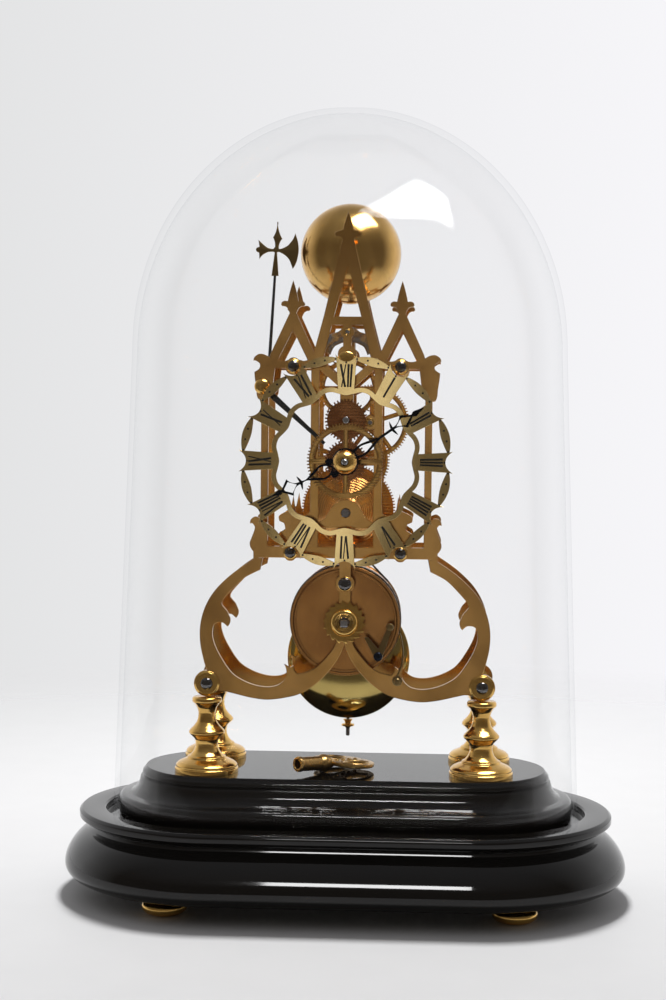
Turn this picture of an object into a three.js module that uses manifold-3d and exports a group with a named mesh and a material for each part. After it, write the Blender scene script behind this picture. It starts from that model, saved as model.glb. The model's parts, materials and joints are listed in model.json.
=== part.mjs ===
// Skeleton clock: an English single-fusee timepiece with passing strike, under a glass dome on an ebonised base.
//
// Millimetres, +Z up, +X to the right of the dial, +Y away from the viewer.
// The origin is on the table under the middle of the clock.

import * as THREE from "three";
import { mergeVertices } from "three/addons/utils/BufferGeometryUtils.js";
import Module from "manifold-3d";

const wasm = await Module();
wasm.setup();

// ---------------------------------------------------------------- driving dimensions

const GAP = 0.3; // clearance between pieces that are turned, cut or slide on each other
const REST_GAP = 0.1; // clearance between flat faces that rest on each other

const FOOT_HEIGHT = 10;
const BASE_CENTRES = 78.5; // half the distance between the round ends' centres
const PLATFORM_Z = 79.8;
const GROOVE_Z = 48.5; // floor of the groove that the dome stands in
const DOME_TOP_Z = 493.7;
const DOME_WALL = 3;

const FRONT_PLATE_Y = [-26.5, -23.5];
const REAR_PLATE_Y = [23.5, 26.5];
const DIAL_Y = [-37, -35.5];

const BARREL_Z = 174.3;
const FUSEE_Z = 241.9;
const CENTRE_Z = 273.8;
const THIRD = { x: 14.5, z: 297.8 };
const STUD_Z = 299.1;
const ESCAPE_Z = 319.2;
const PALLET_Z = 353.2;
const HAMMER = { x: -52, z: 319.4 };
const BELL_Z = 404.3;

const OUTER_COLUMN_X = 50.5;
const INNER_COLUMN_X = 19.5;
const BAR_TOP_Z = 220.8;
const BAR_LOW_Z = 213.7;
const CORNICE_Z = 335.9;
const LUG = { x: 85.3, z: 134.8, r: 8.2 };
const PILLARS = { upper: { x: 33, z: 332 }, middle: { x: 34, z: 217.2 }, lower: LUG };
const FOOT_Y = 25;

const MINUTE_HAND_CLOCKWISE = 54.8; // degrees from twelve
const HOUR_HAND_CLOCKWISE = 244.3;

// ---------------------------------------------------------------- materials

const metal = (color, roughness) => new THREE.MeshStandardMaterial({ color, roughness, metalness: 1 });
const brass = metal(0xc9974a, 0.25);
const paleBrass = metal(0xe0c68a, 0.3);
const redBrass = metal(0xb87340, 0.35);
const steel = metal(0x8d8f94, 0.3);
const blueSteel = metal(0x1c2530, 0.3);
const springSteel = metal(0x5c5f66, 0.35);
const ebonised = new THREE.MeshStandardMaterial({ color: 0x0b0a0a, roughness: 0.12, metalness: 0 });
const glass = new THREE.MeshStandardMaterial({
  color: 0xeef2f2,
  roughness: 0.02,
  metalness: 0,
  transparent: true,
  opacity: 0.2,
});

// ---------------------------------------------------------------- solids

const clock = new THREE.Group();

/** A closed geometry as a solid, with its faces turned outwards and its zero-width faces dropped. */
function toSolid(geometry) {
  const bare = geometry.clone();
  bare.deleteAttribute("normal");
  bare.deleteAttribute("uv");
  const merged = mergeVertices(bare, 1e-4);
  const position = merged.attributes.position;
  const index = merged.index.array;
  const corner = (i) => new THREE.Vector3().fromBufferAttribute(position, i);
  const faces = [];
  let volume = 0;
  for (let i = 0; i < index.length; i += 3) {
    const [a, b, c] = [index[i], index[i + 1], index[i + 2]];
    if (a === b || b === c || c === a) continue;
    faces.push([a, b, c]);
    volume += corner(a).dot(corner(b).cross(corner(c)));
  }
  const facing = volume < 0 ? faces.map(([a, b, c]) => [a, c, b]) : faces;
  const mesh = new wasm.Mesh({
    numProp: 3,
    vertProperties: Float32Array.from(position.array),
    triVerts: Uint32Array.from(facing.flat()),
  });
  return new wasm.Manifold(mesh);
}

/** Adds a solid to the clock as a named mesh. */
function piece(name, solid, material) {
  const { vertProperties, triVerts } = solid.getMesh();
  const geometry = new THREE.BufferGeometry();
  geometry.setAttribute("position", new THREE.BufferAttribute(vertProperties, 3));
  geometry.setIndex(new THREE.BufferAttribute(triVerts, 1));
  geometry.computeVertexNormals();
  const mesh = new THREE.Mesh(geometry, material);
  mesh.name = name;
  clock.add(mesh);
}

// asOriginal forgets which solid each face came from, so that flush faces become one.
const join = (...solids) =>
  solids
    .flat()
    .reduce((sum, solid) => sum.add(solid))
    .asOriginal();
const cut = (solid, ...tools) =>
  tools
    .flat()
    .reduce((rest, tool) => rest.subtract(tool), solid)
    .asOriginal();

/** A flat outline seen from the front, its y upwards, as a solid between two depths. */
function prism(outline, front, back, curveSegments) {
  const geometry = new THREE.ExtrudeGeometry(new THREE.Shape(outline.getPoints(curveSegments)), {
    depth: back - front,
    bevelEnabled: false,
  });
  geometry.rotateX(Math.PI / 2);
  geometry.translate(0, back, 0);
  return toSolid(geometry);
}

/** A flat shape with its openings, as a sheet between two depths. */
function sheet(shape, [front, back], curveSegments = 8) {
  const openings = shape.holes.map((hole) => prism(hole, front - 1, back + 1, curveSegments));
  return cut(prism(shape, front, back, curveSegments), openings);
}

/** A lathe profile of [radius, height] pairs, closed on the axis at both ends. */
function latheGeometry(profile, segments) {
  const points = [[0, profile[0][1]], ...profile, [0, profile[profile.length - 1][1]]];
  const wanted = points.filter(([r], i) => r > 0 || i === 0 || i === points.length - 1);
  return new THREE.LatheGeometry(
    wanted.map(([r, h]) => new THREE.Vector2(r, h)),
    segments,
  );
}

/** A turned piece standing up, heights along Z. */
function turnedUp(profile, x, y, segments = 16) {
  const geometry = latheGeometry(profile, segments);
  geometry.rotateX(Math.PI / 2);
  geometry.translate(x, y, 0);
  return toSolid(geometry);
}

/** A turned piece lying from front to back, its profile heights being places along Y. */
function turnedAcross(profile, x, z, segments = 12) {
  const geometry = latheGeometry(profile, segments);
  geometry.translate(x, 0, z);
  return toSolid(geometry);
}

/** A plain round rod from front to back. */
const rod = (x, z, r, [front, back], segments = 10) =>
  turnedAcross(
    [
      [r, front],
      [r, back],
    ],
    x,
    z,
    segments,
  );

/** A plain ring from front to back. */
const ring = (x, z, outer, inner, [front, back], segments = 20) =>
  cut(rod(x, z, outer, [front, back], segments), rod(x, z, inner, [front - 1, back + 1], segments));

/** A box given by its lowest and highest corners. */
function block([x0, y0, z0], [x1, y1, z1]) {
  const geometry = new THREE.BoxGeometry(x1 - x0, y1 - y0, z1 - z0);
  geometry.translate((x0 + x1) / 2, (y0 + y1) / 2, (z0 + z1) / 2);
  return toSolid(geometry);
}

// ---------------------------------------------------------------- flat outlines

/** A shape through points, leaving out any point that repeats the one before it. */
function polygon(points) {
  const apart = ([x0, z0], [x1, z1]) => Math.hypot(x1 - x0, z1 - z0) > 0.01;
  const kept = points.filter((point, i) => apart(point, points[(i + 1) % points.length]));
  return new THREE.Shape(kept.map(([x, z]) => new THREE.Vector2(x, z)));
}

const mirrored = (points) => points.map(([x, z]) => [-x, z]).reverse();
const bothSides = (points) => [polygon(points), polygon(mirrored(points))];

/** A smooth curve through points, as points. */
function curve(points, steps = 4) {
  const spline = new THREE.SplineCurve(points.map(([x, z]) => new THREE.Vector2(x, z)));
  return spline.getPoints(steps * (points.length - 1)).map((p) => [p.x, p.y]);
}

/** Points along a circle, in degrees anticlockwise from +X. */
function arc(x, z, r, from, to, steps) {
  const at = (i) => THREE.MathUtils.degToRad(from + ((to - from) * i) / steps);
  return Array.from({ length: steps + 1 }, (_, i) => [x + r * Math.cos(at(i)), z + r * Math.sin(at(i))]);
}

/** The point of a circle at an angle in degrees. */
const point = (x, z, r, degrees) => arc(x, z, r, degrees, degrees, 1)[0];

const disc = (x, z, r, steps = 10) => polygon(arc(x, z, r, 0, 360, steps).slice(0, -1));

/** A straight strip between two points. */
function strip([x0, z0], [x1, z1], width) {
  const along = new THREE.Vector2(x1 - x0, z1 - z0).normalize();
  const [sx, sz] = [(-along.y * width) / 2, (along.x * width) / 2];
  return polygon([
    [x0 + sx, z0 + sz],
    [x0 - sx, z0 - sz],
    [x1 - sx, z1 - sz],
    [x1 + sx, z1 + sz],
  ]);
}

/** A shape turned clockwise about the origin and then moved. */
function placed(points, clockwise, x, z) {
  const turn = THREE.MathUtils.degToRad(-clockwise);
  return points.map(([px, pz]) => [
    x + px * Math.cos(turn) - pz * Math.sin(turn),
    z + px * Math.sin(turn) + pz * Math.cos(turn),
  ]);
}

// ---------------------------------------------------------------- base, feet and dome

/** A moulded piece whose plan is a straight-sided oval: the profile holds [half-width, height]. */
function ovalSolid(profile, steps = 8) {
  const positions = [];
  const faces = [];
  const halfRing = steps + 1;
  const count = 2 * halfRing;
  profile.forEach(([halfWidth, z]) => {
    const r = halfWidth - BASE_CENTRES;
    const right = arc(BASE_CENTRES, 0, r, -90, 90, steps);
    const left = arc(-BASE_CENTRES, 0, r, 90, 270, steps);
    [...right, ...left].forEach(([x, y]) => positions.push(x, y, z));
  });
  const last = profile.length - 1;
  for (let i = 0; i < last; i += 1) {
    for (let j = 0; j < count; j += 1) {
      const next = (j + 1) % count;
      const [a, b] = [i * count + j, i * count + next];
      faces.push(a, b, b + count, a, b + count, a + count);
    }
  }
  for (let j = 1; j < count - 1; j += 1) {
    faces.push(0, j + 1, j, last * count, last * count + j, last * count + j + 1);
  }
  const geometry = new THREE.BufferGeometry();
  geometry.setAttribute("position", new THREE.Float32BufferAttribute(positions, 3));
  geometry.setIndex(faces);
  return toSolid(geometry);
}

/** The lower moulding: a bold torus, a cove and a thin rim round the groove that holds the dome. */
function baseMoulding() {
  const torus = curve(
    [
      [160, FOOT_HEIGHT],
      [168, 10.3],
      [173.8, 12.6],
      [176.6, 16],
      [177.3, 19.6],
      [176.4, 25],
      [173, 31.6],
      [167.8, 37.4],
      [162, 41.5],
    ],
    2,
  );
  const rim = [
    [160.5, 44.5],
    [164.6, 46.5],
    [168.2, 49],
    [168.2, 52.5],
    [166.4, 54],
    [152.2, 54],
    [151.2, 53],
  ];
  const groove = [
    [151.2, GROOVE_Z],
    [138, GROOVE_Z],
  ];
  return ovalSolid([...torus, ...rim, ...groove]);
}

/** The step inside the dome: a broad bead, a flared cove and the platform slab with its nosing. */
function platformStep() {
  return ovalSolid([
    [143, GROOVE_Z + REST_GAP],
    [143, 60.4],
    [141.4, 62.4],
    [136.4, 63],
    [133.6, 64.8],
    [131.2, 68.6],
    [129.8, 73.2],
    [128.2, 73.6],
    [128.8, 75.4],
    [128.4, 77],
    [126.6, PLATFORM_Z - 0.9],
    [126, PLATFORM_Z],
  ]);
}

/** One of the four low brass bun feet under the base, broadest near its top. */
function bunFoot(x, y) {
  const profile = [
    [6, 0],
    [10, 0.8],
    [13, 2.8],
    [14, 5],
    [13.2, 7.2],
    [9, FOOT_HEIGHT],
  ];
  return turnedUp(profile, x, y, 12);
}

/** Half-width of the dome at a height. */
function domeHalfWidth(z) {
  const shoulder = 343.7;
  const [low, high] = [146.8, 136.5];
  if (z < shoulder) return THREE.MathUtils.mapLinear(z, 57, shoulder, low, high);
  return high * Math.sqrt(Math.max(0, 1 - ((z - shoulder) / (DOME_TOP_Z - shoulder)) ** 2));
}

/** Half-depth of the dome at a height. */
function domeHalfDepth(z) {
  const shoulder = 413.7;
  const [low, high] = [68.3, 63];
  if (z < shoulder) return THREE.MathUtils.mapLinear(z, 57, shoulder, low, high);
  return high * Math.sqrt(Math.max(0, 1 - ((z - shoulder) / (DOME_TOP_Z - shoulder)) ** 2));
}

/** The blown glass dome: straight-sided oval in plan, open below, closed above by a crown. */
function glassDome() {
  const steps = 8;
  const foot = 49.2;
  const heights = [foot, 343.7, 380, 413.7, 440, 460, 475, 486, 492];
  const ringAt = (z, inset) => {
    const r = domeHalfDepth(z) - inset;
    const c = Math.max(domeHalfWidth(z) - domeHalfDepth(z), 0.5);
    return [...arc(c, 0, r, -90, 90, steps), ...arc(-c, 0, r, 90, 270, steps)].map(([x, y]) => [x, y, z]);
  };
  const count = 2 * (steps + 1);
  const outer = heights.map((z) => ringAt(z, 0));
  const inner = heights.map((z) => ringAt(z, DOME_WALL).map(([x, y]) => [x, y, z === foot ? z : z - DOME_WALL]));
  const levels = [...inner.reverse(), ...outer];
  const positions = [0, 0, DOME_TOP_Z - DOME_WALL, ...levels.flat(2), 0, 0, DOME_TOP_Z];
  const faces = [];
  const tip = levels.length * count + 1;
  const at = (i, j) => 1 + i * count + (j % count);
  for (let j = 0; j < count; j += 1) {
    faces.push(0, at(0, j + 1), at(0, j), tip, at(levels.length - 1, j), at(levels.length - 1, j + 1));
    for (let i = 0; i < levels.length - 1; i += 1) {
      faces.push(at(i, j), at(i, j + 1), at(i + 1, j + 1), at(i, j), at(i + 1, j + 1), at(i + 1, j));
    }
  }
  const geometry = new THREE.BufferGeometry();
  geometry.setAttribute("position", new THREE.Float32BufferAttribute(positions, 3));
  geometry.setIndex(faces);
  return toSolid(geometry);
}

/** A turned pillar foot standing on the platform under each lug. */
function pillarFoot(x, y) {
  const profile = [
    [19.8, 0],
    [19.8, 3.2],
    [16.5, 7],
    [12.2, 8.3],
    [9.5, 10.5],
    [7, 14.5],
    [7.4, 20],
    [11.1, 24.5],
    [6.2, 31],
    [5.4, 37],
    [9.2, 44.2],
    [9, 46.1],
    [8.2, 46.5],
  ];
  return turnedUp(
    profile.map(([r, h]) => [r, PLATFORM_Z + REST_GAP + h]),
    x,
    y,
    10,
  );
}

// ---------------------------------------------------------------- frame plates

/** A spear-shaped finial with two drooping leaves. */
function finial(x, neckZ, neck, leaf, leafZ, spire, spireZ, tipZ) {
  const underLeaf = curve(
    [
      [neck, neckZ],
      [neck + 0.3, neckZ + 1.2],
      [leaf * 0.5, leafZ - 2.1],
      [leaf * 0.74, leafZ - 1.2],
      [leaf * 0.9, leafZ - 1.2],
    ],
    2,
  );
  const overLeaf = curve(
    [
      [leaf, leafZ - 0.3],
      [leaf * 0.94, leafZ + 1.2],
      [leaf * 0.72, leafZ + 2.1],
      [spire, spireZ],
    ],
    2,
  );
  const side = [[neck, neckZ - 1], ...underLeaf, ...overLeaf, [spire * 0.58, (spireZ + tipZ) / 2]];
  return polygon([...side, [0, tipZ], ...mirrored(side)].map(([px, pz]) => [x + px, pz]));
}

/** The tall middle gable, with its open triangle and the cross bar over the pallets. */
function middleGable() {
  const shape = polygon([
    [22.05, CORNICE_Z - 1],
    [22.05, CORNICE_Z + 1],
    [20.6, 340.5],
    [14.7, 362.7],
    [3.6, 409.8],
    [-3.6, 409.8],
    [-14.7, 362.7],
    [-20.6, 340.5],
    [-22.05, CORNICE_Z + 1],
    [-22.05, CORNICE_Z - 1],
    [-15.1, CORNICE_Z - 1],
    [-9.7, 357.5],
    [9.7, 357.5],
    [15.1, CORNICE_Z - 1],
  ]);
  shape.holes.push(
    polygon([
      [-8.4, 362.7],
      [0, 394.2],
      [8.4, 362.7],
    ]),
  );
  return shape;
}

/** A small gable over the upper bar. */
function sideGable(x) {
  const shape = polygon(
    [
      [14.9, CORNICE_Z - 1],
      [13.4, 340.1],
      [2.3, 364.2],
      [-2.3, 364.2],
      [-13.4, 340.1],
      [-14.9, CORNICE_Z - 1],
      [-9.7, CORNICE_Z - 1],
      [0, 354.4],
      [9.7, CORNICE_Z - 1],
    ].map(([px, pz]) => [x + px, pz]),
  );
  return shape;
}

/** The leafy block at the right-hand end of the upper bar. */
const corniceLeaf = (fineness) => [
  [46, CORNICE_Z - 1],
  ...curve(
    [
      [46.6, CORNICE_Z + 0.6],
      [50.5, 338.9],
      [54.3, 339.4],
      [57.3, 337.3],
      [57.8, 335.2],
    ],
    fineness,
  ),
  ...curve(
    [
      [56.6, 335.3],
      [53.9, 333.4],
      [54.2, 330.4],
      [57.2, 328.3],
    ],
    fineness,
  ),
  [57, 325.5],
  [55.9, 317.6],
  ...curve(
    [
      [55.5, 313.6],
      [54.6, 311.6],
      [52.7, 311.2],
    ],
    fineness,
  ),
  [48.4, 311.2],
  [46.3, 316],
  [45.2, 325],
  [44.4, 331.5],
];

/** The leaf that stands on the right-hand end of the bottom bar. */
const plinthLeaf = (fineness) => [
  [50.6, 214.5],
  [50.6, 237],
  ...curve(
    [
      [53.2, 238.2],
      [56.2, 239],
      [58.8, 237],
      [59.2, 234.6],
    ],
    fineness,
  ),
  ...curve(
    [
      [57.9, 234.9],
      [56.2, 232.6],
      [57, 229],
      [59.3, 222.4],
      [58.3, 219],
      [57, 217.4],
    ],
    fineness,
  ),
  [57, 211.9],
];

/** The crocketed leaf and spire between the right-hand columns. */
const innerLeaf = (fineness) => [
  [20, 219],
  [20, 243.5],
  ...curve(
    [
      [22, 242.3],
      [26, 239.6],
      [30.3, 241.5],
      [32.3, 252],
    ],
    fineness,
  ),
  ...curve(
    [
      [34.2, 243.4],
      [38.4, 241.6],
      [41.4, 239.4],
      [40.9, 236.4],
    ],
    fineness,
  ),
  ...curve(
    [
      [38.2, 235.2],
      [37.4, 231.6],
      [40.6, 229.6],
      [41.6, 226.6],
      [40.2, 222.6],
      [41.5, 219],
    ],
    fineness,
  ),
];

/** The right-hand scroll from the bottom bar round to the lug and in to the barrel boss. */
function scrollOutline(fineness) {
  const outside = curve(
    [
      [57, 212.4],
      [69, 204.2],
      [80.3, 193.4],
      [87, 182],
      [89.9, 169.8],
      [89.4, 157.8],
      [86.7, 146.4],
    ],
    fineness,
  );
  const underside = curve(
    [
      [80, 130],
      [73, 129.8],
      [62.3, 127.2],
      [48.9, 125.2],
      [35.5, 126.8],
      [24.8, 130.4],
      [13.1, 139.4],
      [3.4, 152.2],
      [-1.4, 165],
    ],
    fineness,
  );
  const arm = curve(
    [
      [4.5, 163.5],
      [7.4, 157],
      [15.4, 147.6],
      [21.5, 143.4],
      [28.8, 141.5],
    ],
    fineness,
  );
  const tipLeaf = [
    ...curve(
      [
        [30.6, 143.4],
        [31.5, 146.8],
      ],
      fineness,
    ),
    ...curve(
      [
        [33.6, 145.4],
        [37.2, 147.4],
      ],
      fineness,
    ),
  ];
  const inside = curve(
    [
      [36, 144.2],
      [36.2, 139.4],
      [40.9, 134.5],
      [48.9, 133.1],
      [58.9, 135.2],
      [69, 140.7],
      [75.6, 149.3],
      [80.3, 158],
      [82.2, 165],
      [81.6, 170.4],
    ],
    fineness,
  );
  const upperLeaf = [
    ...curve(
      [
        [79.4, 172.6],
        [75.8, 172.8],
        [72.7, 170.3],
      ],
      fineness,
    ),
    ...curve(
      [
        [71, 175.2],
        [73.2, 180.2],
        [76.4, 184],
        [75.6, 187],
      ],
      fineness,
    ),
  ];
  const shoulder = curve(
    [
      [73.6, 189.6],
      [69, 194.6],
      [62.3, 200.9],
      [52.6, 206],
    ],
    fineness,
  );
  return [...outside, ...underside, ...arm, ...tipLeaf, ...inside, ...upperLeaf, ...shoulder, [51, 213.8]];
}

/** The ogee bridge that carries the fusee's front pivot. */
function fuseeBridge() {
  const ogee = curve(
    [
      [18, 235.6],
      [13, 238.4],
      [8.6, 245.2],
      [4.6, 249],
      [0, 250.2],
    ],
    3,
  );
  return polygon([...ogee, ...mirrored(ogee).slice(1), [-18, 232.4], [18, 232.4]]);
}

/** Front and rear plates share one outline; they differ in the holes that the arbors need. */
function framePlate(depth, holes, fineness) {
  const columnsX = [OUTER_COLUMN_X, INNER_COLUMN_X];
  const widths = [4.5, 5.1];
  const columns = [-1, 1].flatMap((side) =>
    columnsX.map((x, i) => strip([side * x, BAR_LOW_Z + 1], [side * x, CORNICE_Z - 0.5], widths[i])),
  );
  const struts = [-1, 1].map((side) => strip([side * 18.5, 335], [0, 318.6], 5.2));
  const shapes = [
    middleGable(),
    finial(0, 409.6, 3.6, 8.5, 413, 3.4, 415.8, 426.9),
    ...[-33.6, 33.6].flatMap((x) => [sideGable(x), finial(x, 364.3, 2.1, 7.4, 370, 3.3, 371.9, 384.6)]),
    ...columns,
    ...struts,
    strip([0, 358], [0, 318], 5.2),
    strip([0, 322], [0, 296.5], 8.2),
    ...[-1, 1].map((side) => strip([side * 17, 333.3], [side * 48, 333.3], 5.2)),
    strip([-57, (BAR_TOP_Z + BAR_LOW_Z) / 2], [57, (BAR_TOP_Z + BAR_LOW_Z) / 2], BAR_TOP_Z - BAR_LOW_Z),
    strip([-19, CENTRE_Z], [19, CENTRE_Z], 5.2),
    strip([0, 215], [0, 180], 7.4),
    ...bothSides(corniceLeaf(fineness)),
    ...bothSides(plinthLeaf(fineness)),
    ...bothSides(innerLeaf(fineness)),
    ...bothSides(scrollOutline(fineness)),
    fuseeBridge(),
    disc(0, BARREL_Z, 9, 14),
    disc(0, 198, 6),
    disc(0, 339.6, 5.8),
    disc(0, PALLET_Z, 4.2),
    disc(0, CENTRE_Z, 6.5),
    disc(0, STUD_Z, 5),
    disc(THIRD.x, THIRD.z, 4.5),
    ...[-1, 1].map((side) => disc(side * LUG.x, LUG.z, LUG.r, 14)),
    ...[-1, 1].map((side) => disc(side * PILLARS.upper.x, PILLARS.upper.z, 5.4)),
    ...[-1, 1].map((side) => disc(side * PILLARS.middle.x, PILLARS.middle.z, 5.4)),
  ];
  const solid = join(shapes.map((shape) => sheet(shape, depth, 4)));
  const through = [depth[0] - 1, depth[1] + 1];
  return cut(
    solid,
    holes.map(([x, z, r]) => rod(x, z, r, through, 8)),
  );
}

/** A turned pillar between the plates. */
function platePillar({ x, z }, waist) {
  const [front, back] = [FRONT_PLATE_Y[1] + REST_GAP, REAR_PLATE_Y[0] - REST_GAP];
  return turnedAcross(
    [
      [5, front],
      [5, front + 2],
      [waist, front + 5],
      [waist, back - 5],
      [5, back - 2],
      [5, back],
    ],
    x,
    z,
    8,
  );
}

/** A domed blued screw on its stepped brass collet, holding the plate to a pillar. */
function frontScrew({ x, z }, collet) {
  const face = FRONT_PLATE_Y[0] - REST_GAP;
  return turnedAcross(
    [
      [1.6, face - 3.6],
      [3.2, face - 3],
      [4, face - 1.8],
      [collet - 0.6, face - 1.7],
      [collet, face],
    ],
    x,
    z,
    10,
  );
}

// ---------------------------------------------------------------- dial and hands

const DIAL_CUSP_R = 66;
const DIAL_CUSP_DEG = 5.8;

/** One hour cartouche, drawn at twelve o'clock about the dial's centre. */
function cartouche() {
  const cusp = THREE.MathUtils.degToRad(DIAL_CUSP_DEG);
  const [cuspX, cuspZ] = [DIAL_CUSP_R * Math.sin(cusp), DIAL_CUSP_R * Math.cos(cusp)];
  const side = [
    [5, 43],
    [5.2, 47],
    [6.2, 62.5],
    [cuspX, cuspZ],
    [5, 63.4],
    [2.6, 61.6],
  ];
  return [...side, [0, 61], ...mirrored(side)];
}

/** One crescent between two cartouches, centred at fifteen degrees past twelve. */
function minuteCrescent() {
  const steps = 4;
  const [from, to] = [5, 25];
  const edge = (base, swell) =>
    Array.from({ length: steps + 1 }, (_, i) => {
      const share = i / steps;
      const r = base + swell * Math.sin(Math.PI * share);
      const angle = THREE.MathUtils.degToRad(90 - (from + (to - from) * share));
      return [r * Math.cos(angle), r * Math.sin(angle)];
    });
  return [...edge(63.6, 1.9), ...edge(62.4, -2.4).reverse()];
}

/** The scalloped inner ring, with a lobe under every cartouche. */
function scallopedRing() {
  const steps = 60;
  const edge = (middle, swell) =>
    Array.from({ length: steps }, (_, i) => {
      const angle = (2 * Math.PI * i) / steps;
      const r = middle - swell * Math.cos(12 * angle);
      return [r * Math.sin(angle), CENTRE_Z + r * Math.cos(angle)];
    });
  const shape = polygon(edge(45.1, 1.4));
  shape.holes.push(polygon(edge(42, 1.5)));
  return shape;
}

/** The pierced chapter ring on its four feet. */
function dial() {
  const hours = Array.from({ length: 12 }, (_, i) => 30 * i);
  const plates = hours.flatMap((hour) => [
    polygon(placed(cartouche(), hour, 0, CENTRE_Z)),
    polygon(placed(minuteCrescent(), hour, 0, CENTRE_Z)),
  ]);
  const feet = [60, 120, 240, 300].map((hour) => {
    const [[x, z]] = placed([[0, 58]], hour, 0, CENTRE_Z);
    return rod(x, z, 1.6, [DIAL_Y[1] - 0.5, FRONT_PLATE_Y[0] - REST_GAP], 8);
  });
  return join(
    [scallopedRing(), ...plates].map((shape) => sheet(shape, DIAL_Y)),
    feet,
  );
}

/** A pierced gothic hand drawn upwards from its boss: an open loop, a cross, an open lozenge and a spear. */
function gothicHand(clockwise, depth, { boss, loopEnd, loopHalf, cross, crossHalf, lozengeEnd, lozengeHalf, tip }) {
  const line = 1.3;
  const loopStart = boss - 0.8;
  const loopSide = (inset) =>
    curve(
      [
        [0, loopStart + inset],
        [loopHalf * 0.75 - inset, loopStart + (loopEnd - loopStart) * 0.16 + inset * 0.4],
        [loopHalf - inset, loopStart + (loopEnd - loopStart) * 0.4],
        [Math.max(loopHalf * 0.45 - inset, 0.05), loopStart + (loopEnd - loopStart) * 0.78 - inset],
        [0, loopEnd - 2 * inset],
      ],
      2,
    );
  const middle = (cross + lozengeEnd) / 2 + 0.5;
  const lozenge = (inset) => [
    [lozengeHalf - inset * 1.5, middle],
    [0, lozengeEnd - inset * 1.5],
    [-lozengeHalf + inset * 1.5, middle],
    [0, cross + 1.2 + inset * 1.5],
  ];
  const spear = [
    [0, lozengeEnd - 1.6],
    [1.5, lozengeEnd + 0.4],
    [1, lozengeEnd + (tip - lozengeEnd) * 0.5],
    [0, tip],
    [-1, lozengeEnd + (tip - lozengeEnd) * 0.5],
    [-1.5, lozengeEnd + 0.4],
  ];
  const crossBar = [
    [-crossHalf, cross + 1.2],
    [-crossHalf * 0.6, cross + 0.1],
    [0, cross - 0.9],
    [crossHalf * 0.6, cross + 0.1],
    [crossHalf, cross + 1.2],
    [crossHalf * 0.6, cross + 1.2],
    [0, cross + 0.9],
    [-crossHalf * 0.6, cross + 1.2],
  ];
  const stem = [
    [-0.8, loopEnd - 1.5],
    [0.8, loopEnd - 1.5],
    [0.8, cross + 2.4],
    [-0.8, cross + 2.4],
  ];
  const cheek = curve(
    [
      [boss * 0.45, boss * 0.6],
      [boss * 0.75, boss * 1.02],
      [boss * 0.62, boss * 1.36],
      [boss * 0.2, boss * 1.2],
    ],
    2,
  );
  const outline = (points, hole) => {
    const shape = polygon(placed(points, clockwise, 0, CENTRE_Z));
    if (hole) shape.holes.push(polygon(placed(hole, clockwise, 0, CENTRE_Z)));
    return sheet(shape, depth);
  };
  const loop = (inset) => [...loopSide(inset), ...mirrored(loopSide(inset)).slice(1, -1)];
  return join(
    sheet(disc(0, CENTRE_Z, boss), depth),
    outline(loop(0), loop(line)),
    outline(stem),
    outline(crossBar),
    outline(lozenge(0), lozenge(line)),
    outline(spear),
    outline(cheek),
    outline(mirrored(cheek)),
  );
}

// ---------------------------------------------------------------- wheels

/** Outline of a toothed wheel: a tooth points at the angle "phase", in degrees anticlockwise from +X. */
function toothedOutline(x, z, teeth, module, phase, { addendum = 0.8, dedendum = 1.2 } = {}) {
  const pitch = 360 / teeth;
  const radius = (module * teeth) / 2;
  const root = radius - dedendum * module;
  const top = radius + addendum * module;
  const [gapShares, tipShares] = teeth < 20 ? [[-0.27, 0.27], [-0.12, 0.12]] : [[-0.5], [0]];
  return Array.from({ length: teeth }, (_, i) => phase + i * pitch).flatMap((middle) => [
    point(x, z, root, middle + gapShares[0] * pitch),
    ...tipShares.map((share) => point(x, z, top, middle + share * pitch)),
    ...gapShares.slice(1).map((share) => point(x, z, root, middle + share * pitch)),
  ]);
}

/** Outline of an escape wheel: slender raked teeth. */
function escapeOutline(x, z, teeth, root, top, rake) {
  const pitch = 360 / teeth;
  return Array.from({ length: teeth }, (_, i) => i * pitch).flatMap((middle) => [
    point(x, z, root, middle - 0.3 * pitch),
    point(x, z, top, middle + rake),
    point(x, z, root, middle + 0.06 * pitch),
  ]);
}

/** The windows between a wheel's crossings. */
function windows(x, z, crossings, hub, rim, crossingWidth) {
  const pitch = 360 / crossings;
  const half = (r) => THREE.MathUtils.radToDeg(Math.asin(crossingWidth / 2 / r));
  return Array.from({ length: crossings }, (_, i) => 90 + i * pitch).map((start) =>
    polygon([
      ...arc(x, z, rim, start + half(rim), start + pitch - half(rim), 4),
      ...arc(x, z, hub, start + pitch - half(hub), start + half(hub), 2),
    ]),
  );
}

/** A crossed-out wheel with a round hole at its centre. */
function wheel(outline, { x, z }, depth, { crossings, hub, rim, crossingWidth, hole }) {
  const shape = polygon(outline);
  if (crossings) shape.holes.push(...windows(x, z, crossings, hub, rim, crossingWidth));
  shape.holes.push(disc(x, z, hole));
  return sheet(shape, depth);
}

/** A pinion with few leaves, as thick as its depth. */
const pinion = ({ x, z }, leaves, module, phase, depth) =>
  sheet(polygon(toothedOutline(x, z, leaves, module, phase, { addendum: 0.7, dedendum: 1.15 })), depth);

/** The direction from one arbor to another, in degrees anticlockwise from +X. */
const bearing = (from, to) => THREE.MathUtils.radToDeg(Math.atan2(to.z - from.z, to.x - from.x));

// ---------------------------------------------------------------- the going train

const BARREL = { x: 0, z: BARREL_Z };
const FUSEE = { x: 0, z: FUSEE_Z };
const CENTRE = { x: 0, z: CENTRE_Z };
const STUD = { x: 0, z: STUD_Z };
const ESCAPE = { x: 0, z: ESCAPE_Z };

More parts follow.
